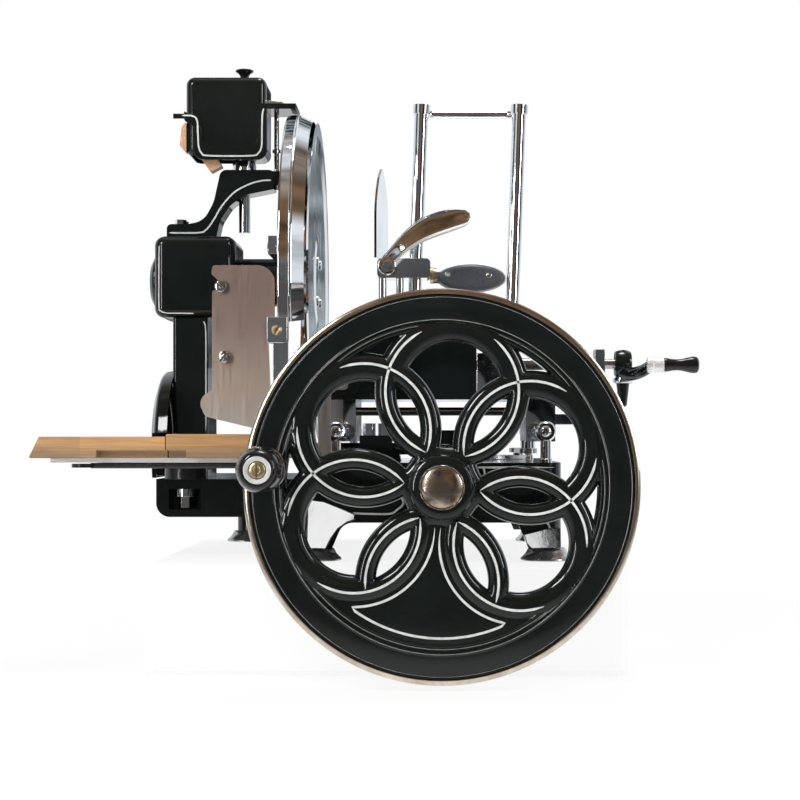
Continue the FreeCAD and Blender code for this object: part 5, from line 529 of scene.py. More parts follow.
# %% [markdown]
# ## Helpers for new meshes
# Most pieces of a machine are turned on a lathe or cut from a bar. A turned piece is a profile carried
# round an axis. Spin could do this, but writing the rings directly gives closed poles and outward faces
# without clean-up. Corners of profiles are cut by a small chamfer so that edges catch the light.

# %% Shading and bevels
def settle(thing):
    """Turn an object's modifiers into a plain mesh."""
    bpy.context.view_layer.update()
    evaluated = thing.evaluated_get(bpy.context.evaluated_depsgraph_get())
    mesh = bpy.data.meshes.new_from_object(evaluated)
    thing.modifiers.clear()
    old = thing.data
    thing.data = mesh
    bpy.data.meshes.remove(old)
    mesh.name = thing.name


def even_out(thing, angle=40.0):
    """Let large flat faces keep a flat shine, and blend only the small faces at their edges."""
    settle(thing)
    thing.data.shade_smooth()
    thing.data.set_sharp_from_angle(angle=math.radians(angle))
    modifier = thing.modifiers.new("even_shading", "WEIGHTED_NORMAL")
    modifier.mode = "FACE_AREA"
    modifier.weight = 80
    modifier.keep_sharp = True
    settle(thing)


def soften(thing, width):
    """Round the sharp edges of an object with a bevel and keep the result as its mesh."""
    modifier = thing.modifiers.new("edges", "BEVEL")
    modifier.width = width * MM
    modifier.segments = 2
    modifier.limit_method = "ANGLE"
    modifier.angle_limit = math.radians(40.0)
    modifier.use_clamp_overlap = True
    even_out(thing, 50.0)


print("shading helpers ready")

# %% New meshes and objects
def face_outwards(mesh):
    """Merge doubled points, then turn every face of a closed mesh outwards."""
    shape = bmesh.new()
    shape.from_mesh(mesh)
    bmesh.ops.remove_doubles(shape, verts=shape.verts[:], dist=1e-7)
    bmesh.ops.recalc_face_normals(shape, faces=shape.faces[:])
    shape.to_mesh(mesh)
    shape.free()


def built(name, points, faces, material, angle=35.0):
    """An object at the origin from points in millimetres, facing outwards and smooth up to an angle."""
    mesh = bpy.data.meshes.new(name)
    mesh.from_pydata([Vector(point) * MM for point in points], [], faces)
    face_outwards(mesh)
    mesh.materials.append(material)
    thing = placed(name, mesh)
    even_out(thing, angle)
    return thing


def discard(thing):
    """Remove an object and its mesh."""
    mesh = thing.data
    bpy.data.objects.remove(thing)
    bpy.data.meshes.remove(mesh)


def skin(across, rows, looped=False):
    """Faces between neighbouring rows of points, where each row is a closed ring."""
    faces = []
    for row in range(rows if looped else rows - 1):
        low, high = row * across, (row + 1) % rows * across
        for index in range(across):
            after = (index + 1) % across
            faces.append([low + index, low + after, high + after, high + index])
    return faces


def ends(across, rows):
    """The two faces that close a skin."""
    return [list(range(across)), list(range((rows - 1) * across, rows * across))]


def settled_on(thing, body, slot, *replaced):
    """Attach a piece to the body it moves with and hide the solids it stands for; the slot is not used."""
    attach(thing, body)
    if replaced:
        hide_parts(*replaced)
    return thing


print("mesh helpers ready")

# %% Turned pieces
AXES = {"X": (Vector((0, 1, 0)), Vector((0, 0, 1)), Vector((1, 0, 0))),
        "Y": (Vector((1, 0, 0)), Vector((0, 0, 1)), Vector((0, 1, 0))),
        "Z": (Vector((1, 0, 0)), Vector((0, 1, 0)), Vector((0, 0, 1)))}


def turned(name, profile, axis, centre, material, segments=64, closed=False):
    """A profile [(radius, height)] carried round an axis through a centre."""
    side, up, along = AXES[axis]
    middle = Vector(centre)
    points, rings = [], []
    for radius, height in profile:
        if radius < 1e-6:
            rings.append([len(points)])
            points.append(middle + along * height)
            continue
        rings.append(list(range(len(points), len(points) + segments)))
        for step in range(segments):
            angle = 2 * math.pi * step / segments
            points.append(middle + along * height + (side * math.cos(angle) + up * math.sin(angle)) * radius)
    faces = []
    pairs = list(zip(rings, rings[1:])) + ([(rings[-1], rings[0])] if closed else [])
    for low, high in pairs:
        for step in range(segments):
            following = (step + 1) % segments
            corners = [low[step % len(low)], low[following % len(low)], high[following % len(high)],
                       high[step % len(high)]]
            corners = list(dict.fromkeys(corners))
            if len(corners) > 2:
                faces.append(corners)
    return built(name, points, faces, material)


print("axes", list(AXES))

# %% Plates
def rounded_outline(corners, steps=6):
    """A closed outline through corners (x, y, radius), each corner rounded."""
    outline = []
    count = len(corners)
    for index, (x, y, radius) in enumerate(corners):
        here = Vector((x, y))
        if radius <= 0:
            outline.append(here)
            continue
        before = Vector(corners[index - 1][:2]) - here
        after = Vector(corners[(index + 1) % count][:2]) - here
        half = before.angle(after) / 2
        reach = min(radius / math.tan(half), before.length * 0.49, after.length * 0.49)
        start = here + before.normalized() * reach
        end = here + after.normalized() * reach
        for step in range(steps + 1):
            t = step / steps
            outline.append(start * (1 - t) ** 2 + here * 2 * t * (1 - t) + end * t * t)
    return outline


def plate(name, outline, thickness, depth, material, bevel=0.4):
    """An upright plate with an (x, z) outline, grown along Y from a depth, with its edges bevelled."""
    points = [(x, depth, z) for x, z in outline] + [(x, depth + thickness, z) for x, z in outline]
    thing = built(name, points, ends(len(outline), 2) + skin(len(outline), 2), material)
    if bevel:
        soften(thing, bevel)
    return thing


print("plate helpers ready")

# %% Joining pieces
def joined(name, things):
    """Several objects as one, each keeping its own material."""
    shape = bmesh.new()
    materials = []
    for thing in things:
        start = len(shape.faces)
        shape.from_mesh(thing.data)
        shape.faces.ensure_lookup_table()
        for face in shape.faces[start:]:
            own = thing.data.materials[min(face.material_index, len(thing.data.materials) - 1)]
            if own not in materials:
                materials.append(own)
            face.material_index = materials.index(own)
    mesh = bpy.data.meshes.new(name)
    shape.to_mesh(mesh)
    shape.free()
    for own in materials:
        mesh.materials.append(own)
    for thing in things:
        discard(thing)
    return placed(name, mesh)


def carved(base, operation, *others):
    """A closed shape with other closed shapes added to it or cut from it."""
    for other in others:
        modifier = base.modifiers.new("carving", "BOOLEAN")
        modifier.operation, modifier.solver, modifier.object = operation, "EXACT", other
    settle(base)
    for other in others:
        discard(other)
    return base


print("joining helpers ready")

# %% [markdown]
# ## Castings with rounded edges
# A real casting or a ground bar has no knife edges: each edge is broken by a small radius, and that radius
# is what catches the light. The solids have sharp edges where the radius is under a millimetre or two. Each
# is therefore copied, its triangles are joined back into flat faces, and a bevel rounds what is sharp.
# A rounding made only in the material would cost nothing in mesh, but it would be lost on export.

# %% Rounded copies of solids
def rounded_copy(node, material, width, body, slot):
    """A solid's own shape as a new piece with its sharp edges rounded."""
    shape = bmesh.new()
    shape.from_mesh(nodes[node].data)
    bmesh.ops.remove_doubles(shape, verts=shape.verts[:], dist=5e-6)
    bmesh.ops.dissolve_limit(shape, angle_limit=math.radians(1.0), verts=shape.verts[:], edges=shape.edges[:])
    mesh = bpy.data.meshes.new(node + "_rounded")
    shape.to_mesh(mesh)
    shape.free()
    if "custom_normal" in mesh.attributes:
        mesh.attributes.remove(mesh.attributes["custom_normal"])
    mesh.materials.clear()
    mesh.materials.append(material)
    thing = placed(node + "_rounded", mesh)
    soften(thing, width)
    for polygon in thing.data.polygons:
        polygon.material_index = 0
    return settled_on(thing, body, slot, node)


ROUNDED = (
    ("base_casting", enamel, 1.6, "root"), ("column_casting", enamel, 1.2, "root"),
    ("swan_neck_arm", enamel, 2.2, "root"), ("shaft_pedestal", enamel, 1.2, "root"),
    ("gear_cover", enamel, 1.0, "root"), ("ring_arm", chrome, 0.6, "root"),
    ("front_bearing", enamel, 1.0, "root"), ("board_rails", black_steel, 0.4, "root"),
    ("front_guard", satin, 0.3, "root"), ("sharpener_cradle", enamel, 0.8, "sharpener"),
    ("meat_table", enamel, 1.0, "carriage"), ("table_plates", chrome, 0.5, "carriage"),
    ("screw_bracket", chrome, 1.0, "carriage"), ("carriage_shoes", chrome, 0.8, "carriage"),
    ("feed_slide", chrome, 1.2, "feed"), ("clamp_body", chrome, 0.8, "clamp"),
    ("grip_tang", chrome, 0.6, "clamp"), ("receiving_board", board_wood, 1.2, "board"),
    ("board_leaf", leaf_wood, 1.2, "board"),
)
slots = {part["node"]: part["material_slot"] for part in frame["record"]["subparts"]}
# The table's apron is enamelled, and only its plates are bright.
slots["meat_table"] = "black_enamel"
for node, material, width, body in ROUNDED:
    piece = rounded_copy(node, material, width, body, slots[node])
    print(piece.name, len(piece.data.polygons), "faces")


def recoat(name, material, chosen):
    """Give one finish to those faces of a piece whose middle passes a test."""
    mesh = bpy.data.objects[name].data
    mesh.materials.append(material)
    for polygon in mesh.polygons:
        if chosen(polygon.center / MM):
            polygon.material_index = len(mesh.materials) - 1


recoat("board_rails_rounded", chrome, lambda middle: middle.z < 54.4)

# %% [markdown]
# ## The flywheel
# The wheel is one casting: a flat rim with a stepped edge, a hub, and six rings whose overlaps make a
# rosette. Its rule is simple: six circles stand round the hub and each is swept with a half-round rib. The
# ribs are swept tubes joined to the turned rim and hub with a boolean union, which gives the sharp valleys
# of a casting where two ribs cross. A sculpted or subdivided wheel would lose those crisp crossings. One
# field between the ribs stays filled as a counterweight.

# %% Sizes of the rosette
AXIS_Z = 60.4
FACE_Y = -255.0
ROSETTE_TURN = 24.0
CIRCLE_REACH = 68.3
RIB_INNER, RIB_OUTER, WINDOW_INNER = 39.8, 55.0, 35.1
RIB_FRONT, RIB_BACK = FACE_Y + 1.3, FACE_Y + 14.9
RIM_STEP = 111.2
FILLED = 4


def circle_centre(number):
    """The centre of one rosette circle, as (x, z)."""
    angle = math.radians(ROSETTE_TURN + 60 * number)
    return Vector((CIRCLE_REACH * math.cos(angle), AXIS_Z + CIRCLE_REACH * math.sin(angle)))


def smooth_step(value, low, high):
    """A soft change from 0 to 1 between two values."""
    t = max(0.0, min(1.0, (value - low) / (high - low)))
    return t * t * (3 - 2 * t)


def rib_section(turn):
    """The half-round section of a rib, as (distance from the circle centre, depth) pairs."""
    inner = RIB_INNER + (WINDOW_INNER - RIB_INNER) * smooth_step(math.cos(turn), 0.05, 0.38)
    half, centre = (RIB_OUTER - inner) / 2, (RIB_OUTER + inner) / 2
    arc = [math.pi * part / 13 for part in range(14)]
    section = [(centre - half * math.cos(angle), RIB_FRONT + 7.5 * (1 - max(math.sin(angle), 0.0) ** 0.8))
               for angle in arc]
    return section + [(centre + half, RIB_BACK), (centre - half, RIB_BACK)]


def rib_ring(number):
    """One rosette circle as a swept rib; the circle of the filled field is open towards the rim."""
    middle = circle_centre(number)
    outward = math.radians(ROSETTE_TURN + 60 * number)
    opened = number == FILLED
    first, last, around = (math.radians(80), math.radians(280), 110) if opened else (0, 2 * math.pi, 198)
    turns = [first + (last - first) * step / around for step in range(around + opened)]
    points = []
    for turn in turns:
        ray = Vector((math.cos(outward + turn), math.sin(outward + turn)))
        for distance, depth in rib_section(turn):
            spot = middle + ray * distance
            points.append((spot.x, depth, spot.y))
    across = len(rib_section(0))
    faces = skin(across, len(turns), looped=not opened)
    if opened:
        faces += ends(across, len(turns))
    return built(f"rib_{number}", points, faces, enamel)


ribs = [rib_ring(number) for number in range(6)]
print("ribs", len(ribs), "of", len(ribs[0].data.polygons), "faces")

# %% Rim, hub and counterweight
RIM_PROFILE = [
    (136.1, -229.4), (136.1, -254.2), (135.6, -254.9), (134.7, -255.0), (134.2, -254.4), (133.6, -254.4),
    (133.1, -255.0), (120.2, -255.0), (119.7, -254.6), (119.2, -255.2), (118.5, -255.6), (117.7, -255.3),
    (117.2, -254.4), (116.6, -252.9), (115.6, -252.0), (114.6, -251.9), (113.9, -252.5), (113.1, -252.8),
    (112.3, -252.4), (111.7, -251.4), (RIM_STEP - 0.3, -249.6), (RIM_STEP - 0.6, -240.4),
    (117.0, -239.6), (117.0, -229.6), (118.0, -229.0), (135.4, -229.0)]
rim = turned("rim", RIM_PROFILE, "Y", (0, 0, AXIS_Z), enamel, segments=180, closed=True)
HUB_PROFILE = [
    (9.1, -221.6), (9.1, -260.4), (16.8, -260.9), (18.4, -260.9), (21.4, -260.2), (22.9, -258.4),
    (23.3, -256.0), (23.3, -253.0), (24.4, -251.6), (26.2, -250.2), (27.4, -247.0), (27.4, -240.2),
    (23.3, -238.6), (23.3, -223.0), (22.0, -221.2), (10.4, -221.2)]
hub = turned("hub", HUB_PROFILE, "Y", (0, 0, AXIS_Z), enamel, segments=96, closed=True)


def beside_field(number, order, radius, nearest, furthest, steps=60):
    """The part of a circle that runs beside the filled field, from the hub to the rim."""
    middle = circle_centre(number)
    start = math.radians(ROSETTE_TURN + 60 * number + 180)
    arc = []
    for step in range(steps + 1):
        angle = start + order * math.radians(150) * step / steps
        spot = middle + Vector((math.cos(angle), math.sin(angle))) * radius
        if nearest <= (spot - Vector((0, AXIS_Z))).length <= furthest:
            arc.append(spot)
    return arc


def rim_arc(left, right, reach, steps=36):
    """The arc round the wheel axis between the directions of two points."""
    axis = Vector((0, AXIS_Z))
    first = math.atan2(left.y - axis.y, left.x - axis.x)
    last = math.atan2(right.y - axis.y, right.x - axis.x)
    angles = [first + (last - first) * step / steps for step in range(steps + 1)]
    return [axis + Vector((math.cos(angle), math.sin(angle))) * reach for angle in angles]


FIELD_SIDES = ((FILLED - 1, -1), (FILLED + 1, 1))
FIELD_RADIUS, FIELD_START, FIELD_END = 49.0, 22, 112.5
near_side, far_side = [beside_field(number, order, FIELD_RADIUS, FIELD_START, FIELD_END)
                       for number, order in FIELD_SIDES]
field = near_side + rim_arc(near_side[-1], far_side[-1], FIELD_END)[1:-1] + far_side[::-1]
weight = plate("weight", field, 10.8, FACE_Y + 4.0, enamel, bevel=0)
flywheel = carved(rim, "UNION", hub, weight, *ribs)
flywheel.name = flywheel.data.name = "flywheel_casting"
even_out(flywheel, 42)
settled_on(flywheel, "flywheel", "black_enamel", "flywheel")
print("flywheel", len(flywheel.data.polygons), "faces, field of", len(field), "points")

# %% Polished band
band_low, band_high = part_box("rim_band")
FRONT_EDGE, BACK_EDGE = band_low.y / MM, band_high.y / MM
BAND = [(136.2, BACK_EDGE), (136.2, FRONT_EDGE + 0.8), (136.5, FRONT_EDGE + 0.2), (137.0, FRONT_EDGE),
        (138.2, FRONT_EDGE + 0.2), (139.4, FRONT_EDGE + 0.6), (140.1, FRONT_EDGE + 1.1),
        (140.5, FRONT_EDGE + 2.4), (140.5, BACK_EDGE - 1.5), (140.0, BACK_EDGE - 0.4), (139.0, BACK_EDGE)]
band = turned("wheel_band", BAND, "Y", (0, 0, AXIS_Z), nickel, segments=180, closed=True)
settled_on(band, "flywheel", slots["rim_band"], "rim_band")
print("band from", round(FRONT_EDGE, 2), "to", round(BACK_EDGE, 2))

# %% [markdown]
# ## Pinstripes
# A coach painter draws thin light lines along the casting. Each line follows a path, so one Geometry Nodes
# tree makes them all: it takes a path of plain edges, lays a flat profile along it and gives it the paint.
# Its inputs are the width, the thickness, the taper at both tips, the side the line faces and the paint.
# Painting lines in the material would need a picture or a formula for every shape, and a real raised line
# catches light at its edge.

# %% A tree with named inputs
def geometry_tree(name, inputs):
    """An empty geometry tree with named inputs; returns the tree, its input and output nodes."""
    tree = bpy.data.node_groups.new(name, "GeometryNodeTree")
    tree.interface.new_socket(name="Geometry", in_out="INPUT", socket_type="NodeSocketGeometry")
    tree.interface.new_socket(name="Geometry", in_out="OUTPUT", socket_type="NodeSocketGeometry")
    for label, kind, value in inputs:
        socket = tree.interface.new_socket(name=label, in_out="INPUT", socket_type=kind)
        if value is not None:
            socket.default_value = value
    return tree, wire(tree, "NodeGroupInput"), wire(tree, "NodeGroupOutput")


def run_tree(name, mesh, tree, values):
    """Put a tree on a mesh, set its inputs by identifier and return the plain result."""
    thing = placed(name, mesh)
    modifier = thing.modifiers.new(tree.name, "NODES")
    modifier.node_group = tree
    for item in tree.interface.items_tree:
        if item.item_type == "SOCKET" and item.in_out == "INPUT" and item.name in values:
            modifier[item.identifier] = values[item.name]
    settle(thing)
    thing.data.shade_smooth()
    thing.data.set_sharp_from_angle(angle=math.radians(35))
    return thing


print("tree helpers ready")

# %% A tree that lays a line along a path
FRONT_SIDE = (0, -1, 0)
stripe_tree, enter, leave = geometry_tree("lay_stripe", [
    ("Width", FLOAT, 0.002), ("Thickness", FLOAT, 0.0003), ("Taper", FLOAT, 0.01),
    ("Facing", VECTOR, FRONT_SIDE), ("Paint", "NodeSocketMaterial", None)])
line = wire(stripe_tree, "GeometryNodeMeshToCurve", {"Mesh": enter.outputs["Geometry"]})
faced = wire(stripe_tree, "GeometryNodeSetCurveNormal", {
    "Curve": line.outputs[0], "Normal": enter.outputs["Facing"]}, mode="FREE")
along = wire(stripe_tree, "GeometryNodeSplineParameter").outputs["Factor"]
from_tip = maths(stripe_tree, "MINIMUM", along, maths(stripe_tree, "SUBTRACT", 1.0, along))
pointed = remap(stripe_tree, from_tip, 0.0, enter.outputs["Taper"], 0.15)
section = wire(stripe_tree, "GeometryNodeCurvePrimitiveQuadrilateral", {
    "Width": enter.outputs["Thickness"], "Height": enter.outputs["Width"]})
laid = wire(stripe_tree, "GeometryNodeCurveToMesh", {
    "Curve": faced.outputs[0], "Profile Curve": section.outputs[0], "Scale": pointed,
    "Fill Caps": True})
real = wire(stripe_tree, "GeometryNodeRealizeInstances", {"Geometry": laid.outputs[0]})
dressed = wire(stripe_tree, "GeometryNodeSetMaterial", {
    "Geometry": real.outputs[0], "Material": enter.outputs["Paint"]})
stripe_tree.links.new(dressed.outputs[0], leave.inputs["Geometry"])
print("stripe tree of", len(stripe_tree.nodes), "nodes")

# %% Paths for the lines
def stripes(name, paths, body, width=1.7, thickness=0.3, taper=0.01):
    """Lines along several open or closed paths of points in millimetres."""
    points, edges = [], []
    for path in paths:
        closed = (Vector(path[0]) - Vector(path[-1])).length < 1e-6
        own = path[:-1] if closed else path
        start = len(points)
        points += own
        edges += [(start + index, start + index + 1) for index in range(len(own) - 1)]
        if closed:
            edges.append((start + len(own) - 1, start))
    mesh = bpy.data.meshes.new(name)
    mesh.from_pydata([Vector(point) * MM for point in points], edges, [])
    thing = run_tree(name, mesh, stripe_tree, {
        "Width": width * MM, "Thickness": thickness * MM, "Taper": taper, "Facing": FRONT_SIDE,
        "Paint": stripe_paint})
    return settled_on(thing, body, "black_enamel")


def smooth_path(points, per_span=8):
    """A rounded path through points, by Catmull-Rom curves."""
    result = []
    points = [Vector(point) for point in points]
    for index in range(len(points) - 1):
        before = points[max(index - 1, 0)]
        first, second = points[index], points[index + 1]
        after = points[min(index + 2, len(points) - 1)]
        for step in range(per_span):
            t = step / per_span
            result.append(0.5 * ((2 * first) + (second - before) * t
                                 + (2 * before - 5 * first + 4 * second - after) * t ** 2
                                 + (3 * first - before - 3 * second + after) * t ** 3))
    result.append(points[-1])
    return result


print("path helpers ready")

# %% Lines on the ribs of the wheel
STRIPE_RADIUS = 47.15
STRIPE_Y = RIB_FRONT - 0.05


def rib_line(number, side):
    """The line along one side of a circle, from beside the hub to its tip at the rim."""
    middle = circle_centre(number)
    inward = math.radians(ROSETTE_TURN + 60 * number + 180)
    last = 101 if number == FILLED else 147
    path = []
    for step in range(57):
        angle = inward + side * math.radians(17 + (last - 17) * step / 56)
        spot = middle + Vector((math.cos(angle), math.sin(angle))) * STRIPE_RADIUS
        path.append((spot.x, STRIPE_Y, spot.y))
    return path


wheel_paths = [rib_line(number, side) for number in range(6) for side in (-1, 1)]
stripes("wheel_stripes", wheel_paths, "flywheel", width=1.75, thickness=0.5, taper=0.07)
EDGE_RADIUS, EDGE_START, EDGE_END, EDGE_ARC = 57.2, 27, 106.8, 107.3
left_edge, right_edge = [beside_field(number, order, EDGE_RADIUS, EDGE_START, EDGE_END)
                         for number, order in FIELD_SIDES]
field_edge = left_edge + rim_arc(left_edge[-1], right_edge[-1], EDGE_ARC)[1:-1] + right_edge[::-1]
stripes("weight_stripe", [[(spot.x, FACE_Y + 3.95, spot.y) for spot in field_edge]], "flywheel",
        width=1.7, taper=0.06)


def wheel_circle(radius, y, steps=180):
    """A closed circle round the wheel axis."""
    turns = [2 * math.pi * (step % steps) / steps for step in range(steps + 1)]
    return [(radius * math.cos(turn), y, AXIS_Z + radius * math.sin(turn)) for turn in turns]


stripes("rim_lines", [wheel_circle(118.3, -255.55), wheel_circle(115.0, -252.0)], "flywheel",
        width=1.05, taper=0)
stripes("rim_edge_line", [wheel_circle(134.2, -254.9)], "flywheel", width=0.8, taper=0)
print("wheel stripes", len(wheel_paths) + 4)

# %% [markdown]
# ## Pinstripes on the castings
# The same line runs round the base, the column, the housing, the arm above it and the cradle of the
# sharpener. Each path is written as a few corner points and rounded by a curve through them, as a painter
# would pull the brush. The lines stand about a quarter of a millimetre proud of the enamel.

# %% Lines on the castings
BASE_FACE, HOUSING_FACE, COLUMN_FACE, NECK_FACE, CRADLE_FACE = -140.1, -36.05, -32.1, -13.1, -29.6


def drawn(points, y, per_span=8):
    """A smooth path through (x, z) points on an upright face at depth y."""
    return smooth_path([(x, y, z) for x, z in points], per_span)


base_low_left = [(-100.8, 17.0), (-99.6, 24.0), (-91.0, 30.0), (-83.0, 36.2), (-72.0, 37.4), (-56.0, 36.8),
                 (-40.0, 36.9), (-34.4, 40.0), (-29.6, 45.2), (-33.4, 54.0), (-33.8, 62.0), (-31.8, 72.4)]
base_low_right = [(-x, z) for x, z in base_low_left[3:]]
base_low_right = [(84.0, 14.0), (83.6, 24.0), (80.0, 32.0)] + base_low_right
# The two straight lines on the top edge of the base front are painted highlights of that edge, drawn in the
# pinstripe paint.
base_top_highlight = [(-98.0, 72.4), (-60.0, 72.4), (-31.8, 72.4)]
base_top_right_highlight = [(-x - 12, z) for x, z in base_top_highlight]
stripes("base_stripes", [drawn(base_low_left, BASE_FACE), drawn(base_low_right, BASE_FACE),
                         drawn(base_top_highlight, BASE_FACE, 2), drawn(base_top_right_highlight, BASE_FACE, 2)],
        "root", width=1.5)
housing_line = [(-232.4, 253.0), (-232.6, 240.0), (-232.6, 204.0), (-231.2, 199.4), (-226.0, 197.6),
                (-214.0, 197.4), (-204.0, 197.2)]
column_line = [(-196.6, 191.0), (-194.7, 184.0), (-194.5, 150.0), (-194.5, 99.0)]
stripes("housing_stripe", [drawn(housing_line, HOUSING_FACE), drawn(column_line, COLUMN_FACE, 4)],
        "root", width=0.9)
neck_line = [(-227.7, 266.0), (-203.0, 266.0), (-196.6, 268.6), (-190.4, 276.8), (-183.6, 288.2),
             (-173.6, 299.4), (-161.0, 306.4), (-150.0, 309.4), (-142.4, 309.8)]
stripes("neck_stripe", [drawn(neck_line, NECK_FACE)], "root", width=1.3)
cradle_line = [(-214.5, 361.0), (-206.0, 360.6), (-202.2, 357.0), (-201.4, 346.0), (-200.9, 336.0),
               (-198.4, 330.0), (-192.4, 327.8), (-158.0, 327.8), (-151.6, 330.0), (-148.9, 336.0),
               (-148.6, 350.0), (-148.2, 362.0), (-147.0, 367.0)]
stripes("cradle_stripe", [drawn(cradle_line, CRADLE_FACE)], "sharpener", width=1.3)
print("lines on the castings done")

# %% [markdown]
# ## Feet, hub cap and front knob
# These are all turned pieces, so each is a profile carried round its axis. The feet are cast bells with a
# rolled rim. The hub cap is a low dome of old nickel that has gone blotchy in the middle, with a rim that
# hands keep bright. The knob is black hard rubber round a steel ring, held by a slotted brass screw.

# %% Feet
FOOT_BELL = [(0, 0), (20.1, 0), (20.5, 0.4), (20.5, 1.3), (20.1, 2.0), (18.6, 3.2), (16.9, 5.0), (15.7, 7.0),
             (15.0, 8.6), (14.0, 9.5), (0, 9.6)]
FOOT_SPOTS = ((-98.6, -118.0), (81.5, -118.0), (-177.0, 152.0), (88.0, 152.0))
bells = [turned(f"foot_{number}", FOOT_BELL, "Z", (x, y, 0), foot_metal)
         for number, (x, y) in enumerate(FOOT_SPOTS)]
feet = joined("foot_bells", bells)
settled_on(feet, "root", "foot_metal", "feet")
print("feet", len(feet.data.polygons), "faces")

# %% Hub cap with worn nickel
cap_nickel, tree, shader = painted("blotched_nickel", (0.5, 0.42, 0.33), 0.2, metallic=1.0)
blotches = two_tone(tree, shader, (0.09, 0.07, 0.055), (0.62, 0.52, 0.42), 75.0, low=0.36, high=0.62)
tree.links.new(remap(tree, blotches, 0, 1, 0.42, 0.14), shader.inputs["Roughness"])
worn = place_group(tree, ripple, scale=260.0, depth=0.25)
tree.links.new(worn.outputs[0], shader.inputs["Normal"])
CAP_DOME = [(0, -268.0), (5.0, -267.9), (9.0, -267.5), (12.0, -266.7), (14.2, -265.6), (14.7, -265.0),
            (0, -264.6)]
CAP_RIM = [(14.75, -264.6), (14.9, -265.6), (15.4, -265.7), (15.9, -265.0), (16.4, -263.0), (16.5, -261.1),
           (14.75, -261.1)]
cap = joined("hub_cap_dome", [
    turned("cap_dome", CAP_DOME, "Y", (0, 0, AXIS_Z), cap_nickel, segments=96),
    turned("cap_rim", CAP_RIM, "Y", (0, 0, AXIS_Z), nickel, segments=96, closed=True)])
settled_on(cap, "flywheel", slots["hub_cap"], "hub_cap")
print("hub cap", len(cap.data.polygons), "faces")

# %% Front knob
KNOB = (-124.31, 0, 73.47)
BARREL = [(6.15, -262.3), (11.2, -262.3), (11.9, -263.0), (12.2, -266.5), (12.7, -270.5), (13.6, -275.0),
          (14.7, -280.0), (15.6, -286.0), (16.2, -292.0), (16.35, -297.0), (16.2, -303.0), (15.8, -308.0),
          (15.1, -312.2), (14.0, -315.8), (12.7, -318.4), (11.4, -319.6), (10.4, -320.0), (9.7, -319.8),
          (9.55, -319.0), (6.15, -319.0)]
barrel = turned("knob_grip", BARREL, "Y", KNOB, bakelite, segments=96, closed=True)
END_RING = [(6.2, -318.9), (9.4, -318.9), (9.4, -319.9), (8.9, -320.3), (6.8, -320.3), (6.2, -319.9)]
end_ring = turned("knob_end_ring", END_RING, "Y", KNOB, bright_steel, segments=96, closed=True)
knob = joined("knob_turned", [barrel, end_ring])
settled_on(knob, "crank_knob", slots["knob_barrel"], "knob_barrel")
SPINDLE = [(0, -320.2), (6.0, -320.2), (6.0, -262.2), (13.2, -262.0), (15.0, -261.3), (15.4, -260.0),
           (15.4, -256.9), (14.8, -256.3), (10.4, -256.2), (10.4, -255.1), (6.0, -255.0), (6.0, -235.0),
           (0, -235.0)]
spindle = turned("knob_spindle_bar", SPINDLE, "Y", KNOB, chrome, segments=96)


def slotted(name, place, facing, radius, height, material, slot_turn=0.0):
    """A round screw head with a milled slot, on a point and facing along an axis."""
    side, up, along = AXES[facing[-1]]
    sign = -1.0 if facing[0] == "-" else 1.0
    dome = [(0, height), (radius * 0.55, height * 0.97), (radius * 0.86, height * 0.8),
            (radius, height * 0.45), (radius, 0), (0, 0)]
    head = turned(name, [(r, sign * h) for r, h in dome], facing[-1], place, material, segments=48)
    half_long, half_wide, slot_depth = radius * 1.2, radius * 0.13, height * 1.2
    slot = [(-half_long, -half_wide), (half_long, -half_wide),
            (half_long, half_wide), (-half_long, half_wide)]
    long = side * math.cos(slot_turn) + up * math.sin(slot_turn)
    across = along.cross(long)
    floor = Vector(place) + along * sign * height * 0.3
    corners = [floor + long * u + across * v + along * sign * w for w in (0, slot_depth) for u, v in slot]
    cutter = built(name + "_cutter", corners, ends(4, 2) + skin(4, 2), material)
    carved(head, "DIFFERENCE", cutter)
    even_out(head, 35)
    return head


screw = slotted("knob_screw", (KNOB[0], -320.3, KNOB[2]), "-Y", 5.6, 1.8, brass, slot_turn=math.radians(90))
hub_end = joined("knob_spindle_turned", [spindle, screw])
settled_on(hub_end, "flywheel", slots["knob_spindle"], "knob_spindle")
print("knob", len(knob.data.polygons) + len(hub_end.data.polygons), "faces")

# %% [markdown]
# ## The spoon lever
# The clamp is pressed down by a lever shaped like a shallow spoon: a pressed sheet with a thick rolled rim
# and a hollow face. A row of cross-sections from the pivot to the tip, joined into a skin and smoothed by
# subdivision, gives both the hollow and the rim. A flat cut-out with a bevel would show no hollow, and the
# hollow is what turns the room upside down in its reflection.

# %% Spoon lever
SPOON = (((-54.0, 247.0), (-50.0, 237.0)), ((-49.0, 252.5), (-43.0, 240.0)), ((-43.0, 259.5), (-36.5, 248.0)),
         ((-36.0, 268.2), (-28.5, 255.0)), ((-27.0, 277.2), (-18.0, 261.0)), ((-15.0, 285.0), (-6.5, 265.6)),
         ((-1.0, 290.0), (5.5, 269.6)), ((11.0, 291.6), (14.0, 272.8)), ((18.6, 291.2), (19.6, 275.0)),
         ((23.0, 288.4), (23.0, 277.8)), ((24.7, 285.4), (24.7, 281.0)))
SPOON_SECTION = ((0.0, 29.4), (0.025, 27.4), (0.06, 27.0), (0.10, 28.2), (0.3, 27.4), (0.5, 26.4),
                 (0.7, 25.3), (0.84, 24.5), (0.88, 22.6), (0.95, 22.3), (1.0, 24.2), (0.94, 28.6),
                 (0.72, 31.2), (0.5, 32.4), (0.28, 32.6), (0.06, 31.6))
BRIGHT_RIM = (7, 8, 9, 10)
points = []
for top, low in SPOON:
    for share, depth in SPOON_SECTION:
        points.append((top[0] + (low[0] - top[0]) * share, depth, top[1] + (low[1] - top[1]) * share))
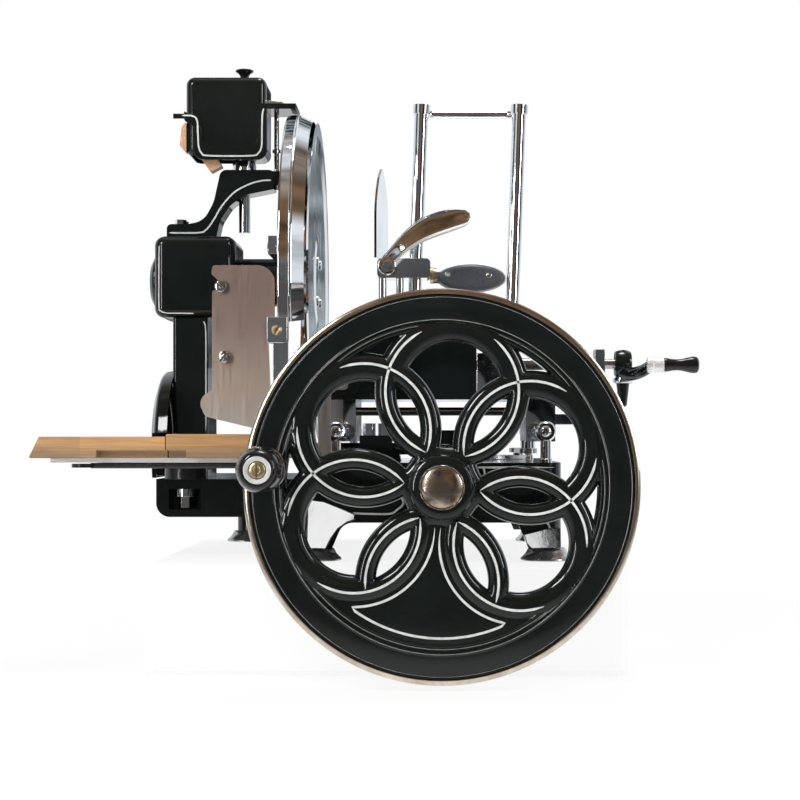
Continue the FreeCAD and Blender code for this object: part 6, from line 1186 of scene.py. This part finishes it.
across, rows = len(SPOON_SECTION), len(SPOON)
spoon = built("spoon", points, skin(across, rows) + ends(across, rows), chrome, angle=80)
spoon.data.materials.append(bright_steel)
for index, polygon in enumerate(spoon.data.polygons):
    polygon.material_index = int(index < across * (rows - 1) and index % across in BRIGHT_RIM)
modifier = spoon.modifiers.new("smooth", "SUBSURF")
modifier.levels = modifier.render_levels = 2
settle(spoon)
spoon.data.shade_smooth()
PIVOT_DISC = [(3.1, 22.2), (6.4, 22.2), (7.4, 22.8), (7.8, 24.0), (7.8, 40.0), (7.2, 41.4), (3.1, 41.6)]
pivot_disc = turned("pivot_disc", PIVOT_DISC, "Y", (-47.0, 0, 242.0), chrome, closed=True)
lever = joined("spoon_lever", [spoon, pivot_disc])
settled_on(lever, "clamp_lever", slots["clamp_lever"], "clamp_lever")
print("lever", len(lever.data.polygons), "faces")

# %% [markdown]
# ## Screws and rivets
# Small heads repeat all over the machine. One head is modelled, and a Geometry Nodes tree puts it on each
# point of a small mesh and gives each its own random turn, as screws end up in real life. Copying objects
# by hand would work for four screws, but the tree keeps one head, one seed and one place to change.

# %% A tree that sets heads on points
heads_tree, enter, leave = geometry_tree("set_heads", [
    ("Head", "NodeSocketObject", None), ("Axis", VECTOR, (1.0, 0.0, 0.0)), ("Seed", "NodeSocketInt", 7),
    ("Paint", "NodeSocketMaterial", None)])
head = wire(heads_tree, "GeometryNodeObjectInfo", {"Object": enter.outputs["Head"], "As Instance": True})
turn = wire(heads_tree, "FunctionNodeRandomValue", {"Seed": enter.outputs["Seed"]}, data_type="FLOAT")
angle = maths(heads_tree, "MULTIPLY", turn.outputs[1], 2 * math.pi)
spin = wire(heads_tree, "ShaderNodeVectorMath", {0: enter.outputs["Axis"], "Scale": angle},
            operation="SCALE")
set_down = wire(heads_tree, "GeometryNodeInstanceOnPoints", {
    "Points": enter.outputs["Geometry"], "Instance": head.outputs["Geometry"], "Rotation": spin.outputs[0]})
real = wire(heads_tree, "GeometryNodeRealizeInstances", {"Geometry": set_down.outputs[0]})
dressed = wire(heads_tree, "GeometryNodeSetMaterial", {
    "Geometry": real.outputs[0], "Material": enter.outputs["Paint"]})
heads_tree.links.new(dressed.outputs[0], leave.inputs["Geometry"])


print("heads tree of", len(heads_tree.nodes), "nodes")


def heads(name, places, facing, radius, height, material, body, slot, *replaced, seed=7):
    """Slotted heads on several points in millimetres, all facing one way."""
    head = slotted(name + "_head", (0, 0, 0), facing, radius, height, material)
    mesh = bpy.data.meshes.new(name)
    mesh.from_pydata([Vector(place) * MM for place in places], [], [])
    axis = tuple(AXES[facing[-1]][2])
    thing = run_tree(name, mesh, heads_tree, {"Head": head, "Axis": axis, "Seed": seed, "Paint": material})
    discard(head)
    return settled_on(thing, body, slot, *replaced)


# %% Screws of the blade, the ring's bar and the guards, and the rivets of the grip
BLADE_Z = 225.2
SCREW_ORBIT = 23.0
blade_spots = [(-103.6, SCREW_ORBIT * math.cos(turn), BLADE_Z + SCREW_ORBIT * math.sin(turn))
               for turn in (math.radians(45 + 90 * number) for number in range(4))]
heads("blade_screw_heads", blade_spots, "+X", 4.2, 1.6, chrome, "blade", slots["blade_screws"],
      "blade_screws")
rivet_spots = [(4.8, 45.1, 236.1), (40.6, 45.1, 235.3)]
heads("grip_rivets", rivet_spots, "-Y", 2.3, 0.7, ring_steel, "clamp", "chrome", seed=3)
heads("grip_rivets_back", [(x, 62.9, z) for x, _, z in rivet_spots], "+Y", 2.3, 0.7, ring_steel, "clamp",
      "chrome", seed=4)
heads("front_guard_screws", [(-110.0, -142.0, 139.0), (-110.0, -142.0, 160.0)], "-Y", 2.6, 1.1, chrome,
      "root", "chrome", seed=5)
heads("deflector_heads", [(-174.0, -104.9, 214.0), (-171.0, -104.9, 158.7)], "-Y", 4.6, 1.2, ring_steel,
      "root", "chrome", seed=11)
print("heads set on", len(blade_spots) + 2 * len(rivet_spots) + 4, "points")

# %% [markdown]
# ## The ring round the blade
# The guard ring is a band of polished steel. Its edge is rolled, a fine bead runs beside it, and a bevel
# leads down to the blade. The bevel is the bright part: it leans towards the light wall, while the band
# beside it shows the brown room. The real ring is spun from sheet. Here one closed section is carried along
# part of a circle, which keeps the bead and the bevel exact all the way round.

# %% Guard ring
RING = [(112.7, -126.9), (137.4, -127.0), (138.4, -126.7), (138.9, -126.0), (139.0, -125.2), (139.0, -118.6),
        (138.6, -118.2), (138.6, -117.9), (138.9, -117.4), (138.8, -116.8), (138.2, -116.2), (137.9, -115.6),
        (133.8, -106.9), (133.5, -106.4), (133.3, -106.6), (134.2, -124.0), (112.7, -124.0)]


def hoop(name, section, centre, first, last, material, steps=150):
    """A closed section [(radius, x)] carried along part of a circle round the X direction."""
    count, points = len(section), []
    for step in range(steps + 1):
        angle = math.radians(first + (last - first) * step / steps)
        points += [(x, centre[0] - radius * math.cos(angle), centre[1] + radius * math.sin(angle))
                   for radius, x in section]
    return built(name, points, ends(count, steps + 1) + skin(count, steps + 1), material)


ring = hoop("ring_hoop", RING, (0, BLADE_Z), -17, 215, chrome)
END_BLOCK = [(-135.0, 168.0, 3), (-119.0, 168.0, 3), (-119.0, 188.2, 1), (-135.0, 188.2, 1)]
end_block = plate("ring_end", rounded_outline(END_BLOCK), 14.0, -134.8, chrome, bevel=0.8)
TAIL = [(-131.0, 136.4, 2), (-119.2, 136.4, 2), (-119.2, 170.0, 0), (-131.0, 170.0, 0)]
tail = plate("ring_tail", rounded_outline(TAIL), 3.4, -125.6, chrome, bevel=0.5)
thumb = slotted("ring_thumb_screw", (-127.0, -134.6, 178.0), "-Y", 4.0, 3.4, brass,
                slot_turn=math.radians(60))
guard = joined("guard_ring_rolled", [ring, end_block, tail, thumb])
settled_on(guard, "root", slots["guard_ring"], "guard_ring")
print("guard ring", len(guard.data.polygons), "faces")

# %% [markdown]
# ## Feed crank
# The feed screw ends in a small crank: a barrel-shaped hub, a bent arm with a tapered tail as its
# counterweight, a bright ferrule and a turned grip. The hub, tail, ferrule and grip are turned pieces. The
# arm is an oval carried along a short bent path, because a flat cut-out would not show the bend.

# %% Feed crank pieces
def swept(name, path, radii, flat, material, around=20):
    """An oval bar along a path; each point has its own radius, and flat squeezes the oval sideways."""
    points = []
    spots = [Vector(point) for point in path]
    for index, spot in enumerate(spots):
        ahead = (spots[min(index + 1, len(spots) - 1)] - spots[max(index - 1, 0)]).normalized()
        side = ahead.cross(Vector((0, 0, 1))).normalized()
        up = side.cross(ahead)
        for step in range(around):
            angle = 2 * math.pi * step / around
            points.append(spot + (side * math.cos(angle) * flat + up * math.sin(angle)) * radii[index])
    return built(name, points, ends(around, len(spots)) + skin(around, len(spots)), material, 60)


CRANK_GRIP_AXIS = (0, -45.0, 154.6)
HUB_BARREL = [(5.3, 145.3), (9.6, 145.0), (10.6, 145.7), (11.6, 148.6), (12.0, 152.0), (11.6, 155.4),
              (10.4, 158.4), (9.4, 159.0), (5.3, 158.7)]
TAIL_CONE = [(0, 121.0), (2.3, 121.2), (3.5, 122.8), (5.2, 138.0), (6.4, 147.0), (0, 147.0)]
COLLAR = [(0, 140.8), (7.8, 140.8), (8.4, 141.6), (8.6, 143.6), (8.0, 145.2), (0, 145.4)]
FERRULE = [(0, 167.2), (5.0, 167.2), (6.2, 168.0), (6.6, 169.8), (6.6, 171.8), (6.0, 172.6), (6.0, 179.4),
           (6.4, 180.0), (6.4, 181.0), (0, 181.1)]
ARM_PATH = smooth_path([(151.5, -5.0, 149.5), (158.0, -18.0, 148.0), (165.0, -34.0, 150.0),
                        (170.0, -44.0, 153.6)], 5)
arm_radii = [6.0 - 0.07 * step for step in range(len(ARM_PATH))]
crank_arm = swept("crank_arm_bar", ARM_PATH, arm_radii, 0.75, enamel)
crank = joined("feed_crank_turned", [
    turned("crank_barrel", HUB_BARREL, "X", (0, 0, 157.0), enamel, closed=True),
    turned("crank_tail_cone", TAIL_CONE, "Z", (152.0, 0, 0), enamel),
    turned("crank_collar", COLLAR, "Z", (152.0, 0, 0), chrome),
    turned("crank_ferrule_shell", FERRULE, "X", CRANK_GRIP_AXIS, bright_steel), crank_arm])
settled_on(crank, "feed_screw", slots["feed_crank"], "feed_crank")
GRIP = [(0, 181.4), (5.2, 181.4), (5.7, 182.4), (5.6, 184.0), (4.8, 188.0), (4.5, 192.0), (4.9, 196.0),
        (5.9, 200.0), (6.7, 203.5), (6.9, 206.0), (6.3, 208.4), (4.6, 209.7), (0, 210.0)]
grip = turned("feed_grip_turned", GRIP, "X", CRANK_GRIP_AXIS, bakelite)
settled_on(grip, "feed_grip", slots["feed_grip"], "feed_grip")
print("feed crank", len(crank.data.polygons) + len(grip.data.polygons), "faces")

# %% [markdown]
# ## Sharpener fittings
# The sharpener is lifted by a mushroom knob on top. Two felt pads under its left side wipe the blade, and a
# small chrome lever lies on its right ear. The pads are cut from thick felt, so they are plates with soft
# edges; the knob is turned.

# %% Knob, felt pads and lever of the sharpener
MUSHROOM = [(0, 404.5), (5.4, 404.4), (7.3, 403.8), (7.7, 403.0), (7.2, 402.2), (5.4, 401.2), (4.0, 399.4),
            (3.3, 397.2), (3.4, 395.6), (4.4, 394.4), (5.6, 394.1), (5.6, 393.6), (2.6, 393.5),
            (2.6, 378.0), (0, 378.0)]
mushroom = turned("sharpener_knob_turned", MUSHROOM, "Z", (-166.0, 0, 0), bakelite)
settled_on(mushroom, "sharpener_knob", slots["sharpener_knob"], "sharpener_knob")
UPPER_PAD = [(-211.5, 357.0, 1), (-215.5, 352.0, 3), (-217.0, 337.0, 3), (-211.5, 330.0, 1)]
LOWER_PAD = [(-202.0, 329.5, 0.8), (-187.0, 328.0, 0.8), (-182.6, 320.4, 0.8), (-192.0, 315.5, 0.8)]
pads = joined("felt_pads", [
    plate("upper_pad", rounded_outline(UPPER_PAD), 12.0, -26.0, felt, bevel=0.8),
    plate("lower_pad", rounded_outline(LOWER_PAD), 14.0, -22.0, felt, bevel=0.8)])
settled_on(pads, "sharpener", "abrasive")
LEVER = [(-148.0, 371.2, 0.5), (-133.0, 371.2, 1.2), (-131.0, 373.4, 1.2), (-148.0, 374.6, 0.8)]
ear_lever = plate("sharpener_lever", rounded_outline(LEVER), 8.0, -24.0, chrome, bevel=0.8)
settled_on(ear_lever, "sharpener", "chrome")
print("sharpener fittings", [thing.name for thing in (mushroom, pads, ear_lever)])

# %% [markdown]
# ## Rods, rings and flared legs
# The table runs on two ground rods, held at each end by an eye on a short post. The panel of the table has
# a small black knob. Two rings close the tang of the grip, and its bright edge shows round the black
# scales. The front legs flare towards the feet; each flare leans outward and up, which is why the legs look
# pale between the spokes.

# %% Guide rods with their eyes and posts
ROD_X, ROD_Z, ROD_RADIUS = (-82.0, 80.0), 100.0, 6.0
EYE_Y = (-132.0, 166.0)
ROD = [(0, -137.0), (2.6, -136.7), (4.6, -135.6), (5.7, -133.8), (ROD_RADIUS, -132.0), (ROD_RADIUS, 170.4),
       (5.4, 171.0), (0, 171.0)]
ROD_EYE = [(ROD_RADIUS, -4.6), (6.6, -4.8), (7.4, -4.0), (8.0, -2.4), (8.0, 4.2), (7.4, 5.0),
           (ROD_RADIUS, 5.0)]
ROD_POST = [(0, 76.0), (5.0, 76.0), (5.0, 78.6), (4.2, 79.4), (4.2, 93.0), (0, 94.0)]
rod_pieces = []
for x in ROD_X:
    rod_pieces.append(turned("guide_rod", ROD, "Y", (x, 0, ROD_Z), chrome, segments=48))
    for y in EYE_Y:
        rod_pieces.append(turned("rod_eye", ROD_EYE, "Y", (x, y, ROD_Z), chrome, segments=48, closed=True))
        rod_pieces.append(turned("rod_post", ROD_POST, "Z", (x, y, 0), chrome, segments=48))
rods = joined("guide_rods_turned", rod_pieces)
settled_on(rods, "root", slots["guide_rods"], "guide_rods")
print("rods", len(rods.data.polygons), "faces")

# %% Panel knob, rings and edge of the grip
PANEL_KNOB = [(0, -66.0), (3.6, -65.8), (4.8, -64.8), (5.0, -63.4), (4.4, -62.0), (3.0, -61.0), (3.0, -59.6),
              (0, -59.6)]
panel_knob = turned("panel_knob", PANEL_KNOB, "Y", (37.6, 0, 157.5), bakelite, segments=48)
settled_on(panel_knob, "carriage", "bakelite")
TANG_AXIS = (0, 54.0, 236.0)
BRASS_RING = [(3.0, -10.4), (6.6, -10.4), (7.2, -9.8), (7.2, -8.0), (6.6, -7.4), (3.0, -7.4)]
BRIGHT_RING = [(3.0, -7.2), (6.0, -7.2), (6.4, -6.8), (6.0, -4.2), (3.0, -4.2)]
tang_rings = joined("tang_rings", [
    turned("brass_ring", BRASS_RING, "X", TANG_AXIS, brass, segments=48, closed=True),
    turned("bright_ring", BRIGHT_RING, "X", TANG_AXIS, chrome, segments=48, closed=True)])
settled_on(tang_rings, "clamp", "chrome")
TANG = [(25.5 + 30.4 * math.cos(turn), 233.6 + 12.6 * math.sin(turn))
        for turn in (2 * math.pi * step / 72 for step in range(72))]
tang_edge = plate("tang_edge", TANG, 3.0, 52.5, bright_steel, bevel=0.7)
settled_on(tang_edge, "clamp", "chrome")
print("grip trim", tang_rings.name, tang_edge.name)

# %% Flared legs
LEG_FACE_Y = -140.6
FLARE_DEPTH = 1.6


def flare(name, outline, lean_side, lean_up):
    """A prism with a leaning front face; leans are depth per length, from its far top corner."""
    left, right = min(x for x, z in outline), max(x for x, z in outline)
    start, top = (left if lean_side > 0 else right), max(z for x, z in outline)
    front = [(x, LEG_FACE_Y - lean_side * (x - start) - lean_up * (top - z), z) for x, z in outline]
    back = [(x, LEG_FACE_Y + FLARE_DEPTH, z) for x, z in outline]
    thing = built(name, front + back, ends(len(outline), 2) + skin(len(outline), 2), enamel)
    soften(thing, 0.8)
    return thing


LEFT_LEG = [(-103.0, 11.0), (-88.0, 11.0), (-84.0, 19.0), (-79.0, 26.0), (-72.0, 31.0), (-66.0, 33.0),
            (-66.0, 37.0), (-78.0, 42.0), (-90.0, 46.5), (-103.0, 48.0)]
RIGHT_LEG = [(62.0, 22.0), (64.0, 15.0), (68.0, 11.0), (91.0, 11.0), (91.0, 26.0), (80.0, 26.0)]
flares = joined("leg_flares", [flare("left_flare", LEFT_LEG, 0.325, 0.385),
                               flare("right_flare", RIGHT_LEG, -0.56, 0.26)])
settled_on(flares, "root", "black_enamel")
print("legs", len(flares.data.polygons), "faces")
